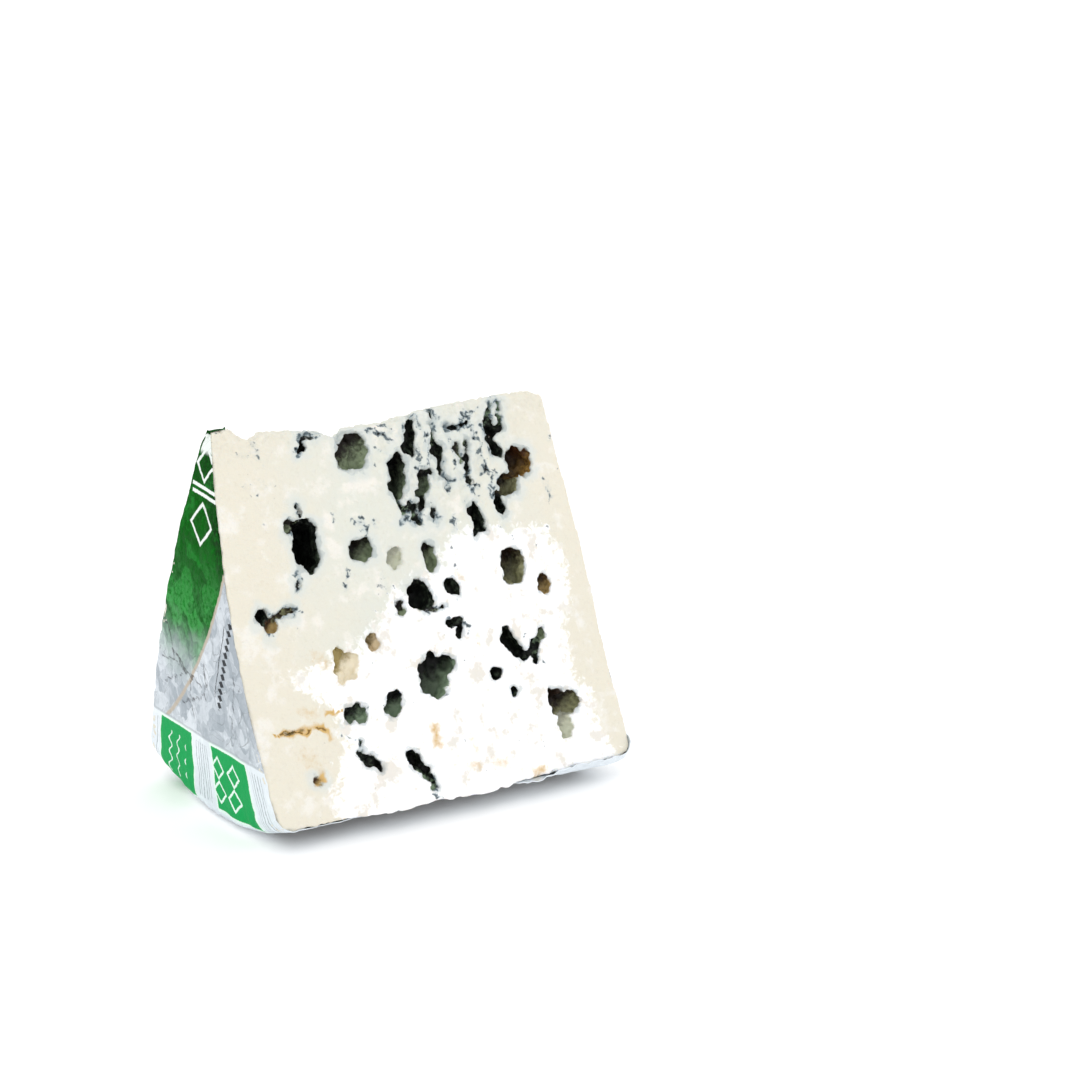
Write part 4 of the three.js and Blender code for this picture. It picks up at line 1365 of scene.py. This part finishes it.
def print_band(weave, draw, colour, turn, side_band):
    """The lower band's panels with their white edges and shapes, and its hairlines"""
    panels, edges, shapes, hair = band_print(weave, draw, turn)
    panels = weave.times(panels, side_band)
    colour = weave.mix(weave.times(edges, side_band), colour, tint(232, 248, 240))
    colour = weave.mix(panels, colour, tint(36, 163, 90))
    colour = weave.mix(weave.times(shapes, side_band), colour, tint(226, 246, 236))
    colour = weave.mix(weave.times(hair, side_band, 0.6), colour, tint(120, 130, 136))
    return colour, panels


def darken_folds(weave, places, colour, field, above_band, mottle):
    """Painted shade: dark lines in the folds, and fainter ones in the creases above the band"""
    fold = weave.add(weave.field("fold"), weave.swing(mottle["Fine"], 0.9))
    colour = weave.mix(weave.times(weave.step(fold, 0.62, 1.05), 0.75), colour, tint(66, 66, 68))
    ridge = weave.math("ABSOLUTE", weave.less(weave.noise(places, 0.075, 2.0, 0.5, 1.6), 0.5))
    line = weave.times(weave.step(ridge, 0.002, 0.012, 1.0, 0.0), weave.step(mottle["Broad"], 0.42, 0.6))
    crease_shade = weave.mix(field, tint(112, 118, 122), tint(0, 56, 6))
    return weave.mix(weave.times(line, 0.5, above_band), colour, crease_shade)


def foil_material(groups):
    """Crumpled silver foil, printed on the wedge's left side, and painted dark underneath as shade"""
    material, weave, shader = new_material("printed_foil")
    places, split = weave.millimetres()
    x, y, z = split["X"], split["Y"], split["Z"]
    mottle = weave.use(groups["mottle"], Places=places, Size=34.0)
    fine = mottle["Fine"]
    draw = Print(
        weave, weave.add(y, weave.swing(fine, 0.9)), weave.add(z, weave.swing(mottle["Grain"], 0.5))
    )
    under = weave.less(AXIS_HEIGHT, draw.z)
    radius = weave.distance(draw.y, under)
    turn = weave.times(weave.math("ARCTAN2", draw.y, under), 180 / math.pi)
    on_side = weave.step(x, -44, -42, 1.0, 0.0)
    band = weave.step(z, BAND_TOP - 0.3, BAND_TOP + 0.3, 1.0, 0.0)
    above_band = weave.less(1.0, band)

    facet_shading, crinkle = crumpled(weave, places)
    # painted light and shade: each facet of the silver lighter or darker
    colour = weave.mix(weave.step(facet_shading, 0.2, 1.4), tint(164, 173, 181), tint(222, 228, 234))
    colour = weave.mix(weave.times(band, 0.75), colour, tint(238, 245, 250))
    face = weave.times(on_side, above_band)
    colour, field = print_label(weave, draw, colour, facet_shading, radius, face, mottle)
    colour, panels = print_band(weave, draw, colour, turn, weave.times(on_side, band))
    seam = weave.times(weave.around(z, BAND_TOP, 0.35, 0.2), on_side)
    colour = weave.mix(weave.times(seam, 0.45), colour, tint(150, 156, 162))
    colour = darken_folds(weave, places, colour, field, above_band, mottle)
    # painted shade: the foil under the wedge dark and less metallic, to deepen the shadow beneath it
    shaded_underside = weave.step(weave.math("ABSOLUTE", x), 43.0, 46.0, 1.0, 0.0)
    shaded_underside = weave.times(weave.step(z, 2.6, 5.0, 1.0, 0.0), shaded_underside)
    colour = weave.mix(weave.times(shaded_underside, 0.92), colour, tint(52, 55, 58))

    relief = weave.use(groups["relief"], Coarse=crinkle, Fine=fine, Strength=0.6)
    weave.feed_all(shader, {
        "Base Color": colour,
        "Metallic": weave.step(weave.most(field, panels, shaded_underside), 0.0, 1.0, 0.5, 0.25),
        "Roughness": weave.step(crinkle, 0.3, 0.7, 0.36, 0.5),
        "Specular IOR Level": 0.0,
        "Normal": relief["Normal"],
    })
    return material


def floor_material(groups):
    material, weave, shader = new_material("pale_floor")
    places = weave.millimetres()[0]
    mottle = weave.use(groups["mottle"], Places=places, Size=100.0)
    tone = weave.mix(weave.step(mottle["Broad"], 0.3, 0.7), tint(252, 252, 252), tint(254, 254, 254))
    weave.feed_all(shader, {
        "Base Color": tone,
        "Roughness": 0.8,
        # a faint glow, painted light that lifts the shadows on the floor
        "Emission Color": (1.0, 1.0, 1.0, 1.0),
        "Emission Strength": 0.08,
    })
    return material


# Putting it together


def finish_piece(piece, material, node):
    """Shifts a piece into the part's frame and gives it its finish"""
    pick(piece)
    bpy.ops.object.mode_set(mode="EDIT")
    bpy.ops.mesh.select_all(action="SELECT")
    bpy.ops.transform.translate(value=(MIDDLE_X * MM, 0, 0))
    bpy.ops.object.mode_set(mode="OBJECT")
    bpy.ops.object.shade_smooth_by_angle(angle=math.radians(SMOOTH_BELOW))
    piece.data.materials.clear()
    piece.data.materials.append(material)
    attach(piece, "root")
    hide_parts(node)


def sun_light(name, towards, spread, strength):
    """A wide, far lamp that shines from a direction"""
    lamp = bpy.data.lights.new(name, "SUN")
    lamp.angle = math.radians(spread)
    lamp.energy = strength
    holder = bpy.data.objects.new(name, lamp)
    bpy.context.collection.objects.link(holder)
    holder.rotation_mode = "QUATERNION"
    holder.rotation_quaternion = Vector(towards).to_track_quat("Z", "Y")


def light_and_floor(groups):
    bpy.ops.object.select_all(action="DESELECT")
    bpy.ops.mesh.primitive_plane_add(size=FLOOR_SIZE)
    floor = bpy.context.object
    floor.name = "studio_floor"
    floor.data.materials.append(floor_material(groups))
    world = bpy.data.worlds.new("studio")
    world.use_nodes = True
    background = world.node_tree.nodes["Background"].inputs
    background["Color"].default_value = (1, 1, 1, 1)
    background["Strength"].default_value = WORLD_LIGHT
    scene = bpy.context.scene
    scene.world = world
    scene.view_settings.view_transform = "Standard"
    sun_light("softbox", **LAMP)


def camera():
    lens = bpy.data.cameras.new("photo_view")
    lens.lens = CAMERA_LENS
    lens.clip_start, lens.clip_end = 0.05, 100
    holder = bpy.data.objects.new("photo_view", lens)
    bpy.context.collection.objects.link(holder)
    holder.location = Vector(CAMERA_PLACE) * MM
    holder.rotation_mode = "QUATERNION"
    holder.rotation_quaternion = Vector(CAMERA_BACK).to_track_quat("Z", "Y")
    bpy.context.scene.camera = holder


groups = {"mottle": mottle_group(), "relief": relief_group()}
camera()
light_and_floor(groups)
finish_piece(make_cheese(), cheese_material(groups), "cheese")
finish_piece(make_foil(), foil_material(groups), "foil")
